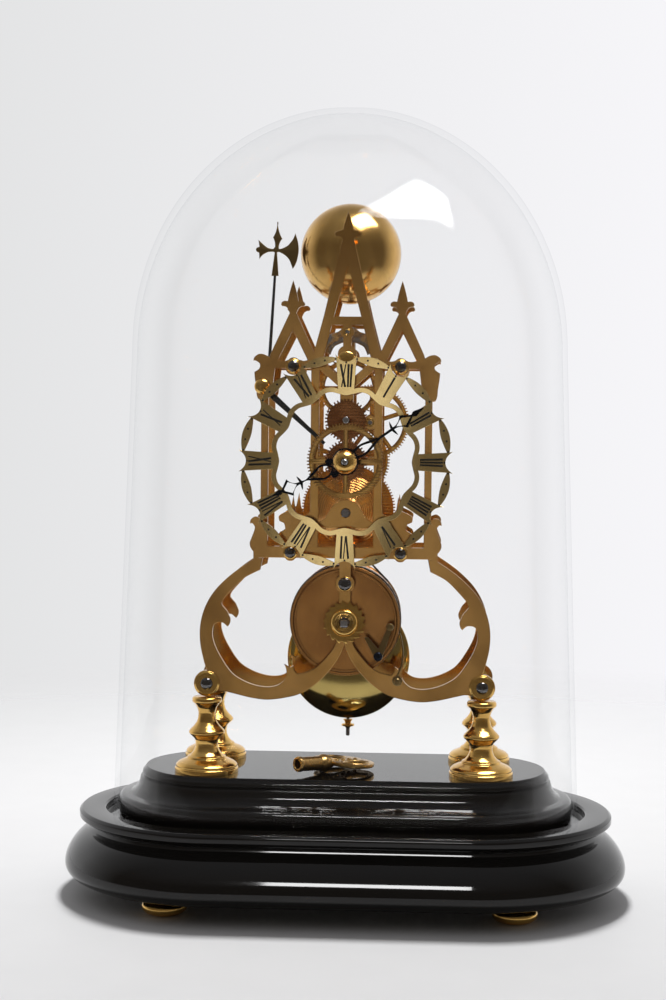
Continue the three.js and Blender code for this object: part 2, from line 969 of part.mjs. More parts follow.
const distance = (a, b) => Math.hypot(a.x - b.x, a.z - b.z);
const moduleOf = (a, b, teeth) => (2 * distance(a, b)) / teeth;

const GREAT = { teeth: 96, module: moduleOf(FUSEE, CENTRE, 104), depth: [12.5, 15.5] };
const CENTRE_GEAR = { teeth: 80, module: moduleOf(CENTRE, THIRD, 88), depth: [18.5, 20] };
const THIRD_GEAR = { teeth: 78, module: moduleOf(THIRD, ESCAPE, 86), depth: [7.5, 9] };
const MOTION = { teeth: 36, module: moduleOf(CENTRE, STUD, 72), depth: [-31.2, -30] };
const HOUR = { teeth: 72, module: moduleOf(CENTRE, STUD, 78), depth: [-33.8, -32.6] };
const HALF_TOOTH = 0.5;

/** The spring barrel: a drum open in front, with a recess for its cover. */
function barrelDrum() {
  const drum = turnedAcross(
    [
      [34.3, -19.4],
      [34.3, -16.8],
      [33.5, -16.4],
      [33.5, 16],
      [34.3, 16.2],
      [34.3, 18],
    ],
    0,
    BARREL_Z,
    24,
  );
  const spring = rod(0, BARREL_Z, 31.2, [-17.2, 15.6], 20);
  const recess = rod(0, BARREL_Z, 32.4, [-25, -17.1], 24);
  return cut(drum, spring, recess, rod(0, BARREL_Z, 5, [10, 22], 16));
}

/** The snapped-in cover at the front of the barrel. */
const barrelCover = () => ring(0, BARREL_Z, 32.4 - GAP, 5, [-19.2, -17.4], 24);

/** The mainspring, wound as a spiral ribbon between arbor and drum. */
function mainspring() {
  const turns = 4.5;
  const [inner, outer] = [9, 30];
  const steps = 44;
  const edge = (offset) =>
    Array.from({ length: steps + 1 }, (_, i) => {
      const share = i / steps;
      const angle = 2 * Math.PI * turns * share;
      const r = inner + (outer - inner) * share + offset;
      return [r * Math.cos(angle), BARREL_Z + r * Math.sin(angle)];
    });
  return sheet(polygon([...edge(0.4), ...edge(-0.4).reverse()]), [-14, 12]);
}

/** The fixed barrel arbor, squared at the front for setting up, with its front ring. */
function barrelArbor() {
  const body = turnedAcross(
    [
      [2.4, -33],
      [2.4, -27],
      [3, -27],
      [3, -23],
      [4.5, -22.6],
      [4.5, 22.4],
      [3, 22.6],
      [3, 27.5],
    ],
    0,
    BARREL_Z,
    10,
  );
  const square = block([-2.2, -35.5, BARREL_Z - 2.2], [2.2, -31, BARREL_Z + 2.2]);
  return join(body, square);
}

/** The set-up ratchet and its turned ring, squared on the barrel arbor in front of the plate. */
function setupRatchet() {
  const teeth = 18;
  const pitch = 360 / teeth;
  const outline = Array.from({ length: teeth }, (_, i) => i * pitch).flatMap((start) => [
    point(0, BARREL_Z, 11.4, start),
    ...arc(0, BARREL_Z, 13.2, start + 0.75 * pitch, start + 0.9 * pitch, 1),
  ]);
  const ratchet = sheet(polygon(outline), [-29.4, -27]);
  const boss = turnedAcross(
    [
      [6.8, -32.4],
      [7.6, -32],
      [8.5, -31],
      [8.5, -29],
    ],
    0,
    BARREL_Z,
    20,
  );
  const dish = turnedAcross(
    [
      [5.6, -33],
      [5.6, -31.6],
      [5, -31.2],
    ],
    0,
    BARREL_Z,
    16,
  );
  return cut(join(ratchet, cut(boss, dish)), rod(0, BARREL_Z, 3.3, [-34, -26], 16));
}

const CLICK_PIVOT = { x: 21, z: 153.6 };

/** The click that holds the set-up ratchet: a nose, a pivot eye and a long tail. */
function ratchetClick() {
  const nose = [
    [19.2, 152.2],
    [12.4, 165.2],
    [14.8, 165.4],
    [23.4, 155.6],
  ];
  const tail = [
    [19.4, 154.4],
    [26.6, 171.4],
    [29.4, 170.4],
    [23.4, 152.4],
  ];
  const depth = [-29.4, -27.4];
  return cut(
    join(
      sheet(polygon(nose), depth),
      sheet(polygon(tail), depth),
      sheet(disc(CLICK_PIVOT.x, CLICK_PIVOT.z, 3, 16), depth),
      sheet(disc(28.1, 171.8, 2.4, 16), [-30.2, -27.4]),
    ),
    rod(CLICK_PIVOT.x, CLICK_PIVOT.z, 1.5, [-31, -26], 12),
  );
}

/** The plate lug and shouldered screw that the click turns on. */
const clickScrew = () =>
  turnedAcross(
    [
      [2.4, -31.6],
      [2.8, -31],
      [2.8, -29.8],
      [1.2, -29.7],
      [1.2, -26.6],
    ],
    CLICK_PIVOT.x,
    CLICK_PIVOT.z,
    10,
  );

/** The curved leaf spring that presses the click into the ratchet. */
function clickSpring() {
  const outside = curve(
    [
      [33.4, 140.6],
      [36.4, 150],
      [36.4, 160],
      [34.8, 168],
    ],
    3,
  );
  const inside = curve(
    [
      [33.8, 167.8],
      [35.4, 159.8],
      [35.4, 150],
      [32.2, 140.6],
    ],
    3,
  );
  return join(
    sheet(polygon([...outside, ...inside]), [-28.8, -26.9]),
    sheet(disc(33, 138.4, 3, 16), [-28.8, -26.6]),
  );
}

/** The great wheel under the fusee's wide end. */
function greatWheel() {
  const { teeth, module, depth } = GREAT;
  const phase = bearing(FUSEE, CENTRE);
  const outline = toothedOutline(FUSEE.x, FUSEE.z, teeth, module, phase);
  return wheel(outline, FUSEE, depth, { crossings: 0, hole: 5.4 });
}

/** The grooved fusee cone, small at the front where the fully wound spring pulls. */
function fuseeCone() {
  const [front, back] = [-15.5, 11.4];
  const turns = 5;
  const profile = [];
  for (let i = 0; i < turns; i += 1) {
    const from = i / turns;
    const radiusAt = (share) => 8.2 + 13.6 * share ** 1.25;
    const y = (share) => front + 1.6 + (back - front - 2.6) * share;
    profile.push([radiusAt(from) + 0.7, y(from)]);
    profile.push([radiusAt(from) - 0.4, y(from + 0.5 / turns)]);
  }
  const cone = turnedAcross([[8, front], [9.4, front + 0.3], ...profile, [22.4, back - 0.8], [22.4, back]], 0, FUSEE_Z, 18);
  return cut(cone, rod(0, FUSEE_Z, 5.4, [front - 1, back + 1], 16));
}

/** The fusee arbor, squared at the front for the winding key. */
function fuseeArbor() {
  const body = turnedAcross(
    [
      [2.6, -28],
      [2.6, -21.5],
      [4.9, -21.2],
      [4.9, 17.6],
      [2.6, 17.9],
      [2.6, 27.4],
    ],
    0,
    FUSEE_Z,
    10,
  );
  return join(body, block([-2.1, -34, FUSEE_Z - 2.1], [2.1, -27, FUSEE_Z + 2.1]));
}

/** The centre wheel on the minute arbor. */
function centreWheel() {
  const { teeth, module, depth } = CENTRE_GEAR;
  const outline = toothedOutline(CENTRE.x, CENTRE.z, teeth, module, bearing(CENTRE, THIRD));
  return wheel(outline, CENTRE, depth, { crossings: 5, hub: 6, rim: 21.6, crossingWidth: 3.2, hole: 2.6 });
}

/** The centre arbor with its eight-leaved pinion. */
function centreArbor() {
  const shaft = turnedAcross(
    [
      [1.9, -45.6],
      [1.9, -22],
      [2.3, -22],
      [2.3, 9],
      [1.7, 9.4],
      [1.7, 17.6],
      [2.3, 17.9],
      [2.3, 22.2],
      [1.3, 22.3],
      [1.3, 26.6],
    ],
    0,
    CENTRE_Z,
    10,
  );
  const leaves = pinion(CENTRE, 8, GREAT.module, bearing(CENTRE, FUSEE) + HALF_TOOTH * 45, [11.5, 17.4]);
  return join(shaft, leaves);
}

/** The third wheel. */
function thirdWheel() {
  const { teeth, module, depth } = THIRD_GEAR;
  const outline = toothedOutline(THIRD.x, THIRD.z, teeth, module, bearing(THIRD, ESCAPE));
  return wheel(outline, THIRD, depth, { crossings: 5, hub: 5.2, rim: 19.8, crossingWidth: 2.8, hole: 2.1 });
}

/** The third arbor with its pinion. */
function thirdArbor() {
  const shaft = turnedAcross(
    [
      [1.2, -27],
      [1.2, -22],
      [1.8, -21.8],
      [1.8, 22.2],
      [1.2, 22.3],
      [1.2, 26.6],
    ],
    THIRD.x,
    THIRD.z,
    10,
  );
  const leaves = pinion(THIRD, 8, CENTRE_GEAR.module, bearing(THIRD, CENTRE) + HALF_TOOTH * 45, [17.2, 21.4]);
  return join(shaft, leaves);
}

/** The thirty-toothed escape wheel. */
function escapeWheel() {
  const outline = escapeOutline(ESCAPE.x, ESCAPE.z, 30, 17.8, 21.4, 2.6);
  return wheel(outline, ESCAPE, [-2.8, -1.4], { crossings: 4, hub: 4.6, rim: 15, crossingWidth: 2.4, hole: 2.1 });
}

/** The escape arbor with its pinion. */
function escapeArbor() {
  const shaft = turnedAcross(
    [
      [1.1, -27],
      [1.1, -22],
      [1.8, -21.8],
      [1.8, 22.2],
      [1.1, 22.3],
      [1.1, 26.6],
    ],
    0,
    ESCAPE_Z,
    10,
  );
  const leaves = pinion(ESCAPE, 8, THIRD_GEAR.module, bearing(ESCAPE, THIRD) + HALF_TOOTH * 45, [6, 10.6]);
  return join(shaft, leaves);
}

/** The polished anchor, its arbor and the crutch that reaches down behind the rear plate. */
function palletAnchor() {
  const half = [
    [0, PALLET_Z - 5.2],
    ...curve(
      [
        [4, PALLET_Z - 5.6],
        [9.2, PALLET_Z - 8.2],
        [11.6, PALLET_Z - 13.2],
      ],
      2,
    ),
    [13.4, PALLET_Z - 12.2],
    ...curve(
      [
        [15.6, PALLET_Z - 8],
        [13.2, PALLET_Z - 1.4],
        [7, PALLET_Z + 1.2],
        [4.2, PALLET_Z + 3.4],
      ],
      2,
    ),
    [0, PALLET_Z + 4.2],
  ];
  const anchor = sheet(polygon([...half, ...mirrored(half).slice(1, -1)]), [-4, 0.4]);
  const arbor = turnedAcross(
    [
      [1.1, -27],
      [1.1, -22],
      [1.8, -21.8],
      [1.8, 28.6],
      [1.2, 28.8],
      [1.2, 32],
    ],
    0,
    PALLET_Z,
    10,
  );
  const crutch = sheet(strip([0, PALLET_Z + 3], [0, 296], 2.4), [29.2, 30.8]);
  const fork = [-1, 1].map((side) => block([side * 1.9 - 0.6, 30, 295.5], [side * 1.9 + 0.6, 40, 299]));
  const forkBack = block([-2.5, 29.2, 295.5], [2.5, 30.8, 299]);
  return join(anchor, arbor, crutch, forkBack, fork);
}

// ---------------------------------------------------------------- motion work

/** The wheel fixed on the centre arbor in front of the plate. */
function cannonWheel() {
  const outline = toothedOutline(CENTRE.x, CENTRE.z, MOTION.teeth, MOTION.module, bearing(CENTRE, STUD));
  const pipe = ring(0, CENTRE_Z, 3.2, 2.2, [-40.8, -29], 16);
  const disk = wheel(outline, CENTRE, MOTION.depth, { crossings: 0, hole: 2.2 });
  const pin = rod(-7.4, CENTRE_Z - 7.4, 0.8, [-30.4, -27.6], 8);
  return join(disk, pipe, pin);
}

/** The minute wheel and its six-leaved pinion, turning on a stud. */
function minuteWheel() {
  const phase = bearing(STUD, CENTRE);
  const outline = toothedOutline(STUD.x, STUD.z, MOTION.teeth, MOTION.module, phase + HALF_TOOTH * 10);
  const disk = wheel(outline, STUD, MOTION.depth, { crossings: 0, hole: 1.5 });
  const leaves = cut(
    pinion(STUD, 6, HOUR.module, phase + HALF_TOOTH * 60, [-34, -30.8]),
    rod(0, STUD_Z, 1.1, [-40, -20], 12),
  );
  return join(cut(disk, rod(0, STUD_Z, 1.6, [-40, -20], 12)), leaves);
}

/** The stud for the minute wheel, headed at the front. */
const minuteStud = () =>
  turnedAcross(
    [
      [2, -35],
      [2, -34.3],
      [0.8, -34.2],
      [0.8, -29.8],
      [2.4, -29.6],
      [2.4, FRONT_PLATE_Y[0] - REST_GAP],
    ],
    0,
    STUD_Z,
    10,
  );

/** The hour wheel and the pipe that carries the hour hand. */
function hourWheel() {
  const outline = toothedOutline(CENTRE.x, CENTRE.z, HOUR.teeth, HOUR.module, bearing(CENTRE, STUD));
  const disk = wheel(outline, CENTRE, HOUR.depth, { crossings: 4, hub: 7, rim: 19.4, crossingWidth: 3, hole: 3.6 });
  return join(disk, ring(0, CENTRE_Z, 4.8, 3.6, [-38.2, -33], 16));
}

/** The hour hand with its collet ring, pushed on the hour pipe. */
function hourHand() {
  const shape = {
    boss: 8.3,
    loopEnd: 26.7,
    loopHalf: 4.6,
    cross: 29.6,
    crossHalf: 4.6,
    lozengeEnd: 43.6,
    lozengeHalf: 5.6,
    tip: 49.5,
  };
  const hand = gothicHand(HOUR_HAND_CLOCKWISE, [-39.8, -38.8], shape);
  return cut(hand, rod(0, CENTRE_Z, 4, [-42, -36], 16));
}

/** The minute hand on the squared end of the cannon pipe. */
function minuteHand() {
  const shape = {
    boss: 5,
    loopEnd: 27.2,
    loopHalf: 3.6,
    cross: 34.8,
    crossHalf: 5,
    lozengeEnd: 50.4,
    lozengeHalf: 4.6,
    tip: 58.5,
  };
  const hand = gothicHand(MINUTE_HAND_CLOCKWISE, [-42.6, -41.6], shape);
  return cut(hand, rod(0, CENTRE_Z, 2.2, [-44, -40], 14));
}

/** The domed brass collet that locks the hands. */
const handCollet = () =>
  cut(
    turnedAcross(
      [
        [2.4, -48.6],
        [4.6, -47.8],
        [6.4, -46],
        [7.4, -43.8],
        [7.4, -43],
      ],
      0,
      CENTRE_Z,
      14,
    ),
    rod(0, CENTRE_Z, 2.2, [-46, -40], 8),
  );

// ---------------------------------------------------------------- passing strike

/** The bell: a deep dome facing forwards, open at the back. */
function bell() {
  const outside = arc(0, 0, 1, 14, 90, 5).map(([r, y]) => [31.8 * r, 14 - 28 * y]);
  const inside = arc(0, 0, 1, 14, 90, 5).map(([r, y]) => [29.8 * r, 14 - 26 * y]);
  const skin = [[31.8, 14], ...outside.filter(([r]) => r > 1), [0.4, -14]];
  const cavity = [[29.8, 15], ...inside.filter(([r]) => r > 1), [0.4, -12]];
  const shell = cut(turnedAcross(skin, 0, BELL_Z, 22), turnedAcross(cavity, 0, BELL_Z, 22));
  return cut(shell, rod(0, BELL_Z, 2, [-20, 0], 12));
}

/** The stud that carries the bell from the rear plate. */
const bellStand = () =>
  turnedAcross(
    [
      [2.6, -17.6],
      [2.9, -14.4],
      [1.6, -14.3],
      [1.6, -11.6],
      [3, -11.2],
      [3, -8],
      [2.2, -7.6],
      [2.2, 20.6],
      [3.4, 21],
      [3.4, REAR_PLATE_Y[0] - REST_GAP],
    ],
    0,
    BELL_Z,
    10,
  );

const HALBERD = { x: -47.1, z: 406 }; // where the arms of the hammer head cross
const HAMMER_ROD_TOP = { x: -47.9, z: 389.2 };

/** The hammer arbor with its cap, its upright rod and the lifting lever in front of the plate. */
function hammerLever() {
  const arbor = turnedAcross(
    [
      [2.4, -31.2],
      [4.4, -30.6],
      [5, -28.4],
      [5, -27.2],
      [1.9, -27.1],
      [1.9, -21.6],
      [2.5, -21.4],
      [2.5, 22],
      [1.3, 22.2],
      [1.3, 26],
    ],
    HAMMER.x,
    HAMMER.z,
    10,
  );
  const upright = sheet(strip([HAMMER.x, HAMMER.z - 2], [HAMMER_ROD_TOP.x, HAMMER_ROD_TOP.z], 2), [8, 10]);
  const lever = sheet(strip([HAMMER.x, HAMMER.z], [-13.4, 284.6], 3), [-29.2, -27.7]);
  return join(arbor, upright, lever);
}

/** The hammer head, shaped as a small halberd: foot, axe blade, spear point and three-lobed peen. */
function halberdHead() {
  const foot = [
    [-1.1, -1.3],
    [-3, -16.1],
    [1.5, -16.1],
    [0.4, -1.3],
  ];
  const bladeUnder = curve(
    [
      [1.6, -1],
      [5, -2.7],
      [8.2, -6],
      [10.4, -11.6],
    ],
    2,
  );
  const bladeEdge = curve(
    [
      [13, -6.6],
      [14.1, -0.4],
      [13.6, 5.6],
      [11.9, 10.8],
    ],
    2,
  );
  const bladeOver = curve(
    [
      [10.4, 7],
      [7.5, 3.4],
      [3.8, 1.3],
      [1.6, 0.9],
    ],
    2,
  );
  const spear = [
    [1.5, 2.2],
    [2.1, 4.8],
    [3.7, 7.4],
    [2, 11],
    [1.1, 14.4],
    [0.8, 18.2],
    [0.2, 14.4],
    [-0.7, 11],
    [-2.2, 8.2],
    [-1, 4.8],
    [-0.9, 2.2],
  ];
  const peenOver = curve(
    [
      [-2, 0.9],
      [-5.4, 1.6],
      [-8.8, 4.2],
      [-11.4, 6.6],
    ],
    2,
  );
  const peenEnd = [
    [-10.8, 2.2],
    [-12.5, 1.7],
    [-13.1, 0.4],
    [-12.5, -0.9],
    [-11, -1.5],
    [-10.7, -5.5],
  ];
  const peenUnder = curve(
    [
      [-8.5, -2.7],
      [-5.4, -1.1],
      [-2, -0.9],
    ],
    2,
  );
  const outline = [
    ...foot,
    ...bladeUnder,
    ...bladeEdge,
    ...bladeOver,
    ...spear,
    ...peenOver,
    ...peenEnd,
    ...peenUnder,
  ];
  return sheet(polygon(outline.map(([x, z]) => [HALBERD.x + x, HALBERD.z + z])), [8, 10]);
}

// ---------------------------------------------------------------- pendulum

const PENDULUM_Y = 36;
const BOB_Z = 144.5;
const BOB_R = 40;

/** The rear cock that the pendulum hangs from. */
function suspensionCock() {
  const back = block([-11, REAR_PLATE_Y[1] + REST_GAP, 357.9], [11, 29.2, 362.4]);
  const arm = block([-4, 28, 357.9], [4, PENDULUM_Y + 5, 362.4]);
  return join(back, arm);
}

/** The suspension spring and rod, with the square that the crutch drives. */
function pendulumRod() {
  const spring = block([-2.6, PENDULUM_Y - 0.5, 340], [2.6, PENDULUM_Y + 0.5, 357.2]);
  const clasp = block([-3.6, PENDULUM_Y - 1.6, 334], [3.6, PENDULUM_Y + 1.6, 343]);
  const rodDown = turnedUp(
    [
      [1, 336],
      [1, BOB_Z + BOB_R + GAP],
    ].reverse(),
    0,
    PENDULUM_Y,
    10,
  );
  const tail = turnedUp(
    [
      [1.4, 93],
      [1.4, BOB_Z - BOB_R - GAP],
    ],
    0,
    PENDULUM_Y,
    10,
  );
  const core = block([-0.9, PENDULUM_Y - 0.9, 100], [0.9, PENDULUM_Y + 0.9, BOB_Z + BOB_R + 2]);
  return join(spring, clasp, rodDown, tail, core);
}

/** The lens-shaped brass bob with a slot for the rod. */
function pendulumBob() {
  const side = arc(0, 0, 1, -90, -10, 4).map(([c, s]) => [1 + 38.6 * c ** 0.9, PENDULUM_Y + 7 * s]);
  const front = side.filter(([r]) => r > 1.01);
  const back = front.map(([r, y]) => [r, 2 * PENDULUM_Y - y]).reverse();
  const lens = turnedAcross([...front, [BOB_R, PENDULUM_Y - 0.8], [BOB_R, PENDULUM_Y + 0.8], ...back], 0, BOB_Z, 28);
  const slot = block([-1.3, PENDULUM_Y - 1.3, 90], [1.3, PENDULUM_Y + 1.3, 200]);
  return cut(lens, slot);
}

/** The rating nut under the bob: a turned neck and a milled flange. */
const ratingNut = () =>
  cut(
    turnedUp(
      [
        [1.8, 98.4],
        [2.4, 99.2],
        [4.2, 99.6],
        [4.2, 100.6],
        [2, 101],
        [2.2, 102.4],
        [3, 103.4],
        [3, 104],
      ],
      0,
      PENDULUM_Y,
      12,
    ),
    turnedUp(
      [
        [1.7, 90],
        [1.7, 110],
      ],
      0,
      PENDULUM_Y,
      8,
    ),
  );

// ---------------------------------------------------------------- chain and key

/** The free run of the fusee chain: the crossed tangent from the fusee's left side to the barrel's right side. */
function fuseeChain() {
  const [fuseeRadius, barrelRadius] = [11, 35.6];
  const lean = Math.asin((fuseeRadius + barrelRadius) / (FUSEE_Z - BARREL_Z));
  const [across, down] = [Math.cos(lean), Math.sin(lean)];
  const start = new THREE.Vector3(-fuseeRadius * across, -13.4, FUSEE_Z - fuseeRadius * down);
  const end = new THREE.Vector3(barrelRadius * across, -8, BARREL_Z + barrelRadius * down);
  const half = 0.75;
  const link = polygon([
    [-half, -half],
    [half, -half],
    [half, half],
    [-half, half],
  ]);
  const extrudePath = new THREE.LineCurve3(start, end);
  return toSolid(new THREE.ExtrudeGeometry(link, { steps: 1, bevelEnabled: false, extrudePath }));
}

const KEY = { x: -7.4, y: -16.7, turned: 43, tipped: 4, half: 28, pipe: 4.8 };

/** The winding key lying on the platform: a hollow pipe, a collar and a broad pierced bow. */
function windingKey() {
  const { half, pipe } = KEY;
  const barrel = latheGeometry(
    [
      [pipe, -half],
      [pipe, -half + 19],
      [pipe + 0.7, -half + 19.6],
      [pipe + 0.7, -half + 22],
      [pipe - 1.2, -half + 26],
    ],
    14,
  );
  const bore = new THREE.BoxGeometry(5.6, 14, 5.6);
  bore.translate(0, -half + 6, 0);
  const bow = new THREE.Shape();
  bow.moveTo(-2.6, -4);
  bow.bezierCurveTo(-8, -3, -21, -4, -22, 8);
  bow.bezierCurveTo(-22.6, 18, -11, half + 1, 0, half - 3);
  bow.bezierCurveTo(11, half + 1, 22.6, 18, 22, 8);
  bow.bezierCurveTo(21, -4, 8, -3, 2.6, -4);
  [-1, 1].forEach((side) => {
    const eye = new THREE.Path();
    eye.absellipse(side * 11.4, 10.4, 5.4, 7, 0, 2 * Math.PI);
    bow.holes.push(eye);
  });
  const plate = new THREE.ExtrudeGeometry(bow, { depth: 2.4, bevelEnabled: false, curveSegments: 5 });
  plate.translate(0, 0, -1.2);
  const key = cut(join(toSolid(barrel), toSolid(plate)), toSolid(bore));
  const { vertProperties, triVerts } = key.getMesh();
  const geometry = new THREE.BufferGeometry();
  geometry.setAttribute("position", new THREE.BufferAttribute(vertProperties, 3));
  geometry.setIndex(new THREE.BufferAttribute(triVerts, 1));
  geometry.rotateX(THREE.MathUtils.degToRad(-KEY.tipped));
  geometry.rotateZ(THREE.MathUtils.degToRad(KEY.turned - 90));
  geometry.computeBoundingBox();
  geometry.translate(KEY.x, KEY.y, PLATFORM_Z + REST_GAP - geometry.boundingBox.min.z);
  return toSolid(geometry);
}

// ---------------------------------------------------------------- assembly

const corners = [
  ["front_left", -1, -1],
  ["front_right", 1, -1],
  ["rear_left", -1, 1],
  ["rear_right", 1, 1],
];
const sides = [
  ["left", -1],
  ["right", 1],
];

piece("base_moulding", baseMoulding(), ebonised);
piece("platform_step", platformStep(), ebonised);
corners.forEach(([name, sx, sy]) => {
  piece(`bun_foot_${name}`, bunFoot(105.5 * sx, 66 * sy), brass);
  piece(`pillar_foot_${name}`, pillarFoot(LUG.x * sx, FOOT_Y * sy), brass);
});
piece("glass_dome", glassDome(), glass);

const frontHoles = [
  [0, BARREL_Z, 3.3],
  [0, FUSEE_Z, 2.9],
  [0, CENTRE_Z, 2.3],
  [THIRD.x, THIRD.z, 1.5],
  [0, ESCAPE_Z, 1.4],
  [0, PALLET_Z, 1.4],
  [HAMMER.x, HAMMER.z, 2.2],
];
const rearHoles = [
  [0, BARREL_Z, 3.3],
  [0, FUSEE_Z, 2.9],
  [0, CENTRE_Z, 1.6],
  [THIRD.x, THIRD.z, 1.5],
  [0, ESCAPE_Z, 1.4],
  [0, PALLET_Z, 2.1],
  [HAMMER.x, HAMMER.z, 1.6],
];
piece("front_plate", framePlate(FRONT_PLATE_Y, frontHoles, 2), brass);
piece("rear_plate", framePlate(REAR_PLATE_Y, rearHoles, 1), brass);
Object.entries(PILLARS).forEach(([level, { x, z }]) => {
  sides.forEach(([side, sign]) => {
    piece(`plate_pillar_${level}_${side}`, platePillar({ x: sign * x, z }, 3.2), brass);
  });
});
sides.forEach(([side, sign]) => {
  piece(`lug_screw_${side}`, frontScrew({ x: sign * LUG.x, z: LUG.z }, 8), blueSteel);
  piece(`cornice_screw_${side}`, frontScrew({ x: sign * PILLARS.upper.x, z: PILLARS.upper.z }, 5.2), blueSteel);
});
piece("dial", dial(), paleBrass);

piece("barrel_drum", barrelDrum(), brass);
piece("barrel_cover", barrelCover(), redBrass);
piece("mainspring", mainspring(), springSteel);
piece("barrel_arbor", barrelArbor(), steel);
piece("setup_ratchet", setupRatchet(), brass);
piece("ratchet_click", ratchetClick(), blueSteel);
piece("click_screw", clickScrew(), blueSteel);
piece("click_spring", clickSpring(), steel);
piece("fusee_chain", fuseeChain(), springSteel);

piece("great_wheel", greatWheel(), brass);
piece("fusee_cone", fuseeCone(), redBrass);
piece("fusee_arbor", fuseeArbor(), steel);
piece("centre_wheel", centreWheel(), brass);
piece("centre_arbor", centreArbor(), steel);
piece("third_wheel", thirdWheel(), brass);
piece("third_arbor", thirdArbor(), steel);
piece("escape_wheel", escapeWheel(), brass);
piece("escape_arbor", escapeArbor(), steel);
piece("pallet_anchor", palletAnchor(), steel);

piece("cannon_wheel", cannonWheel(), brass);
piece("minute_wheel", minuteWheel(), brass);
piece("minute_stud", minuteStud(), steel);
piece("hour_wheel", hourWheel(), brass);
piece("hour_hand", hourHand(), blueSteel);
piece("minute_hand", minuteHand(), blueSteel);
piece("hand_collet", handCollet(), brass);

piece("bell", bell(), brass);
piece("bell_stand", bellStand(), steel);
piece("hammer_lever", hammerLever(), blueSteel);
piece("halberd_head", halberdHead(), blueSteel);

piece("suspension_cock", suspensionCock(), brass);
piece("pendulum_rod", pendulumRod(), steel);
piece("pendulum_bob", pendulumBob(), brass);
piece("rating_nut", ratingNut(), brass);
piece("winding_key", windingKey(), brass);

export default clock;
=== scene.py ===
"""Looks for a skeleton clock under its glass dome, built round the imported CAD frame.

The drawing unit is the millimetre: outlines and profiles are written in millimetres and scaled to metres
when a piece is added. X is to the right of the dial, Y runs away from the viewer and Z is up.
"""

import json
import math

import bmesh
import bpy
from mathutils import Matrix, Vector
from mathutils.geometry import tessellate_polygon


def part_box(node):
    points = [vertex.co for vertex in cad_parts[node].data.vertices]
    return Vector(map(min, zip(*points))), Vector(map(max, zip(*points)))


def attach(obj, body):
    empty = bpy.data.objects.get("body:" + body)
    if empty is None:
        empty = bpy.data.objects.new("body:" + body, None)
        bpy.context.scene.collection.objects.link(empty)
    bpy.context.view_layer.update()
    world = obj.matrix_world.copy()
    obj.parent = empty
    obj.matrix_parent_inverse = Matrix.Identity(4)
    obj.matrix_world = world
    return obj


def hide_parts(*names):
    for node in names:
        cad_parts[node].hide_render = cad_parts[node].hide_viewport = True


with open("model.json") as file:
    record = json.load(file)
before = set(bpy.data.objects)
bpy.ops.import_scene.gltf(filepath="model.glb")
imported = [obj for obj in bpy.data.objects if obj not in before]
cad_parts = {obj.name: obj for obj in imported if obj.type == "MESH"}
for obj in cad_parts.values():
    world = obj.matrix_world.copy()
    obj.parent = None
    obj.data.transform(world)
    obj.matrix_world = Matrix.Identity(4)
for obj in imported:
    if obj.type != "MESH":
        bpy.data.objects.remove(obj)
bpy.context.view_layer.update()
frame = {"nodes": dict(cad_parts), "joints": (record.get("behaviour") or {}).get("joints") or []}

MM = 0.001


# ---------------------------------------------------------------- places taken from the frame


def span(node):
    """Lowest and highest corner of a CAD node, in millimetres."""
    low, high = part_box(node)
    return low / MM, high / MM


def depths(node):
    """The front and the back of a CAD node."""
    low, high = span(node)
    return low.y, high.y


def middle_of(node):
    """The middle of a CAD node seen from the front, as (x, z)."""
    low, high = span(node)
    return (low.x + high.x) / 2, (low.z + high.z) / 2


def pivot(joint):
    """Where a joint's axis stands, as (x, z) in millimetres."""
    x, _, z = next(j for j in frame["joints"] if j["name"] == joint)["pos_m"]
    return x / MM, z / MM


CENTRE = pivot("centre_turn")
FUSEE = pivot("fusee_turn")
BARREL = pivot("barrel_turn")
THIRD = pivot("third_turn")
ESCAPE = pivot("escape_turn")
STUD = pivot("minute_wheel_turn")
PALLET = pivot("pallet_rock")
HAMMER = pivot("hammer_swing")
CLICK = pivot("click_lift")
PLATE_FRONT = span("front_plate")[0].y
PLATE_THICKNESS = 3.0
REAR_FRONT, REAR_BACK = depths("rear_plate")
PLATFORM_Z = span("platform_step")[1].z
LUG = middle_of("lug_screw_right")
CORNICE_SCREW = middle_of("cornice_screw_right")
MIDDLE_PILLAR = middle_of("plate_pillar_middle_right")
BELL_CENTRE = middle_of("bell")


# ---------------------------------------------------------------- node materials


def add_node(tree, kind, inputs=None, **settings):
    """A shader node with its settings, and its inputs either joined to a socket or set to a value."""
    made = tree.nodes.new(kind)
    for key, value in settings.items():
        setattr(made, key, value)
    for key, value in (inputs or {}).items():
        if isinstance(value, bpy.types.NodeSocket):
            tree.links.new(value, made.inputs[key])
        else:
            made.inputs[key].default_value = value
    return made


def new_material(name):
    """A node material and its Principled surface."""
    material = bpy.data.materials.new(name)
    material.use_nodes = True
    return material, material.node_tree, material.node_tree.nodes["Principled BSDF"]


def noise(tree, scale, detail=3.0, stretch=(1.0, 1.0, 1.0)):
    """Noise over the object's own coordinates, in cells per metre."""
    place = add_node(tree, "ShaderNodeTexCoord").outputs["Object"]
    mapped = add_node(tree, "ShaderNodeMapping", {"Vector": place, "Scale": stretch}).outputs[0]
    inputs = {"Vector": mapped, "Scale": scale, "Detail": detail}
    return add_node(tree, "ShaderNodeTexNoise", inputs).outputs[0]


def ranged(tree, value, low, high, to_low, to_high):
    """A value moved from one range to another and held inside it."""
    inputs = {"Value": value, "From Min": low, "From Max": high, "To Min": to_low, "To Max": to_high}
    return add_node(tree, "ShaderNodeMapRange", inputs).outputs[0]


def mixed(tree, factor, first, second):
    """Two colours mixed by a factor."""
    inputs = {0: factor, 6: first, 7: second}
    return add_node(tree, "ShaderNodeMix", inputs, data_type="RGBA").outputs[2]


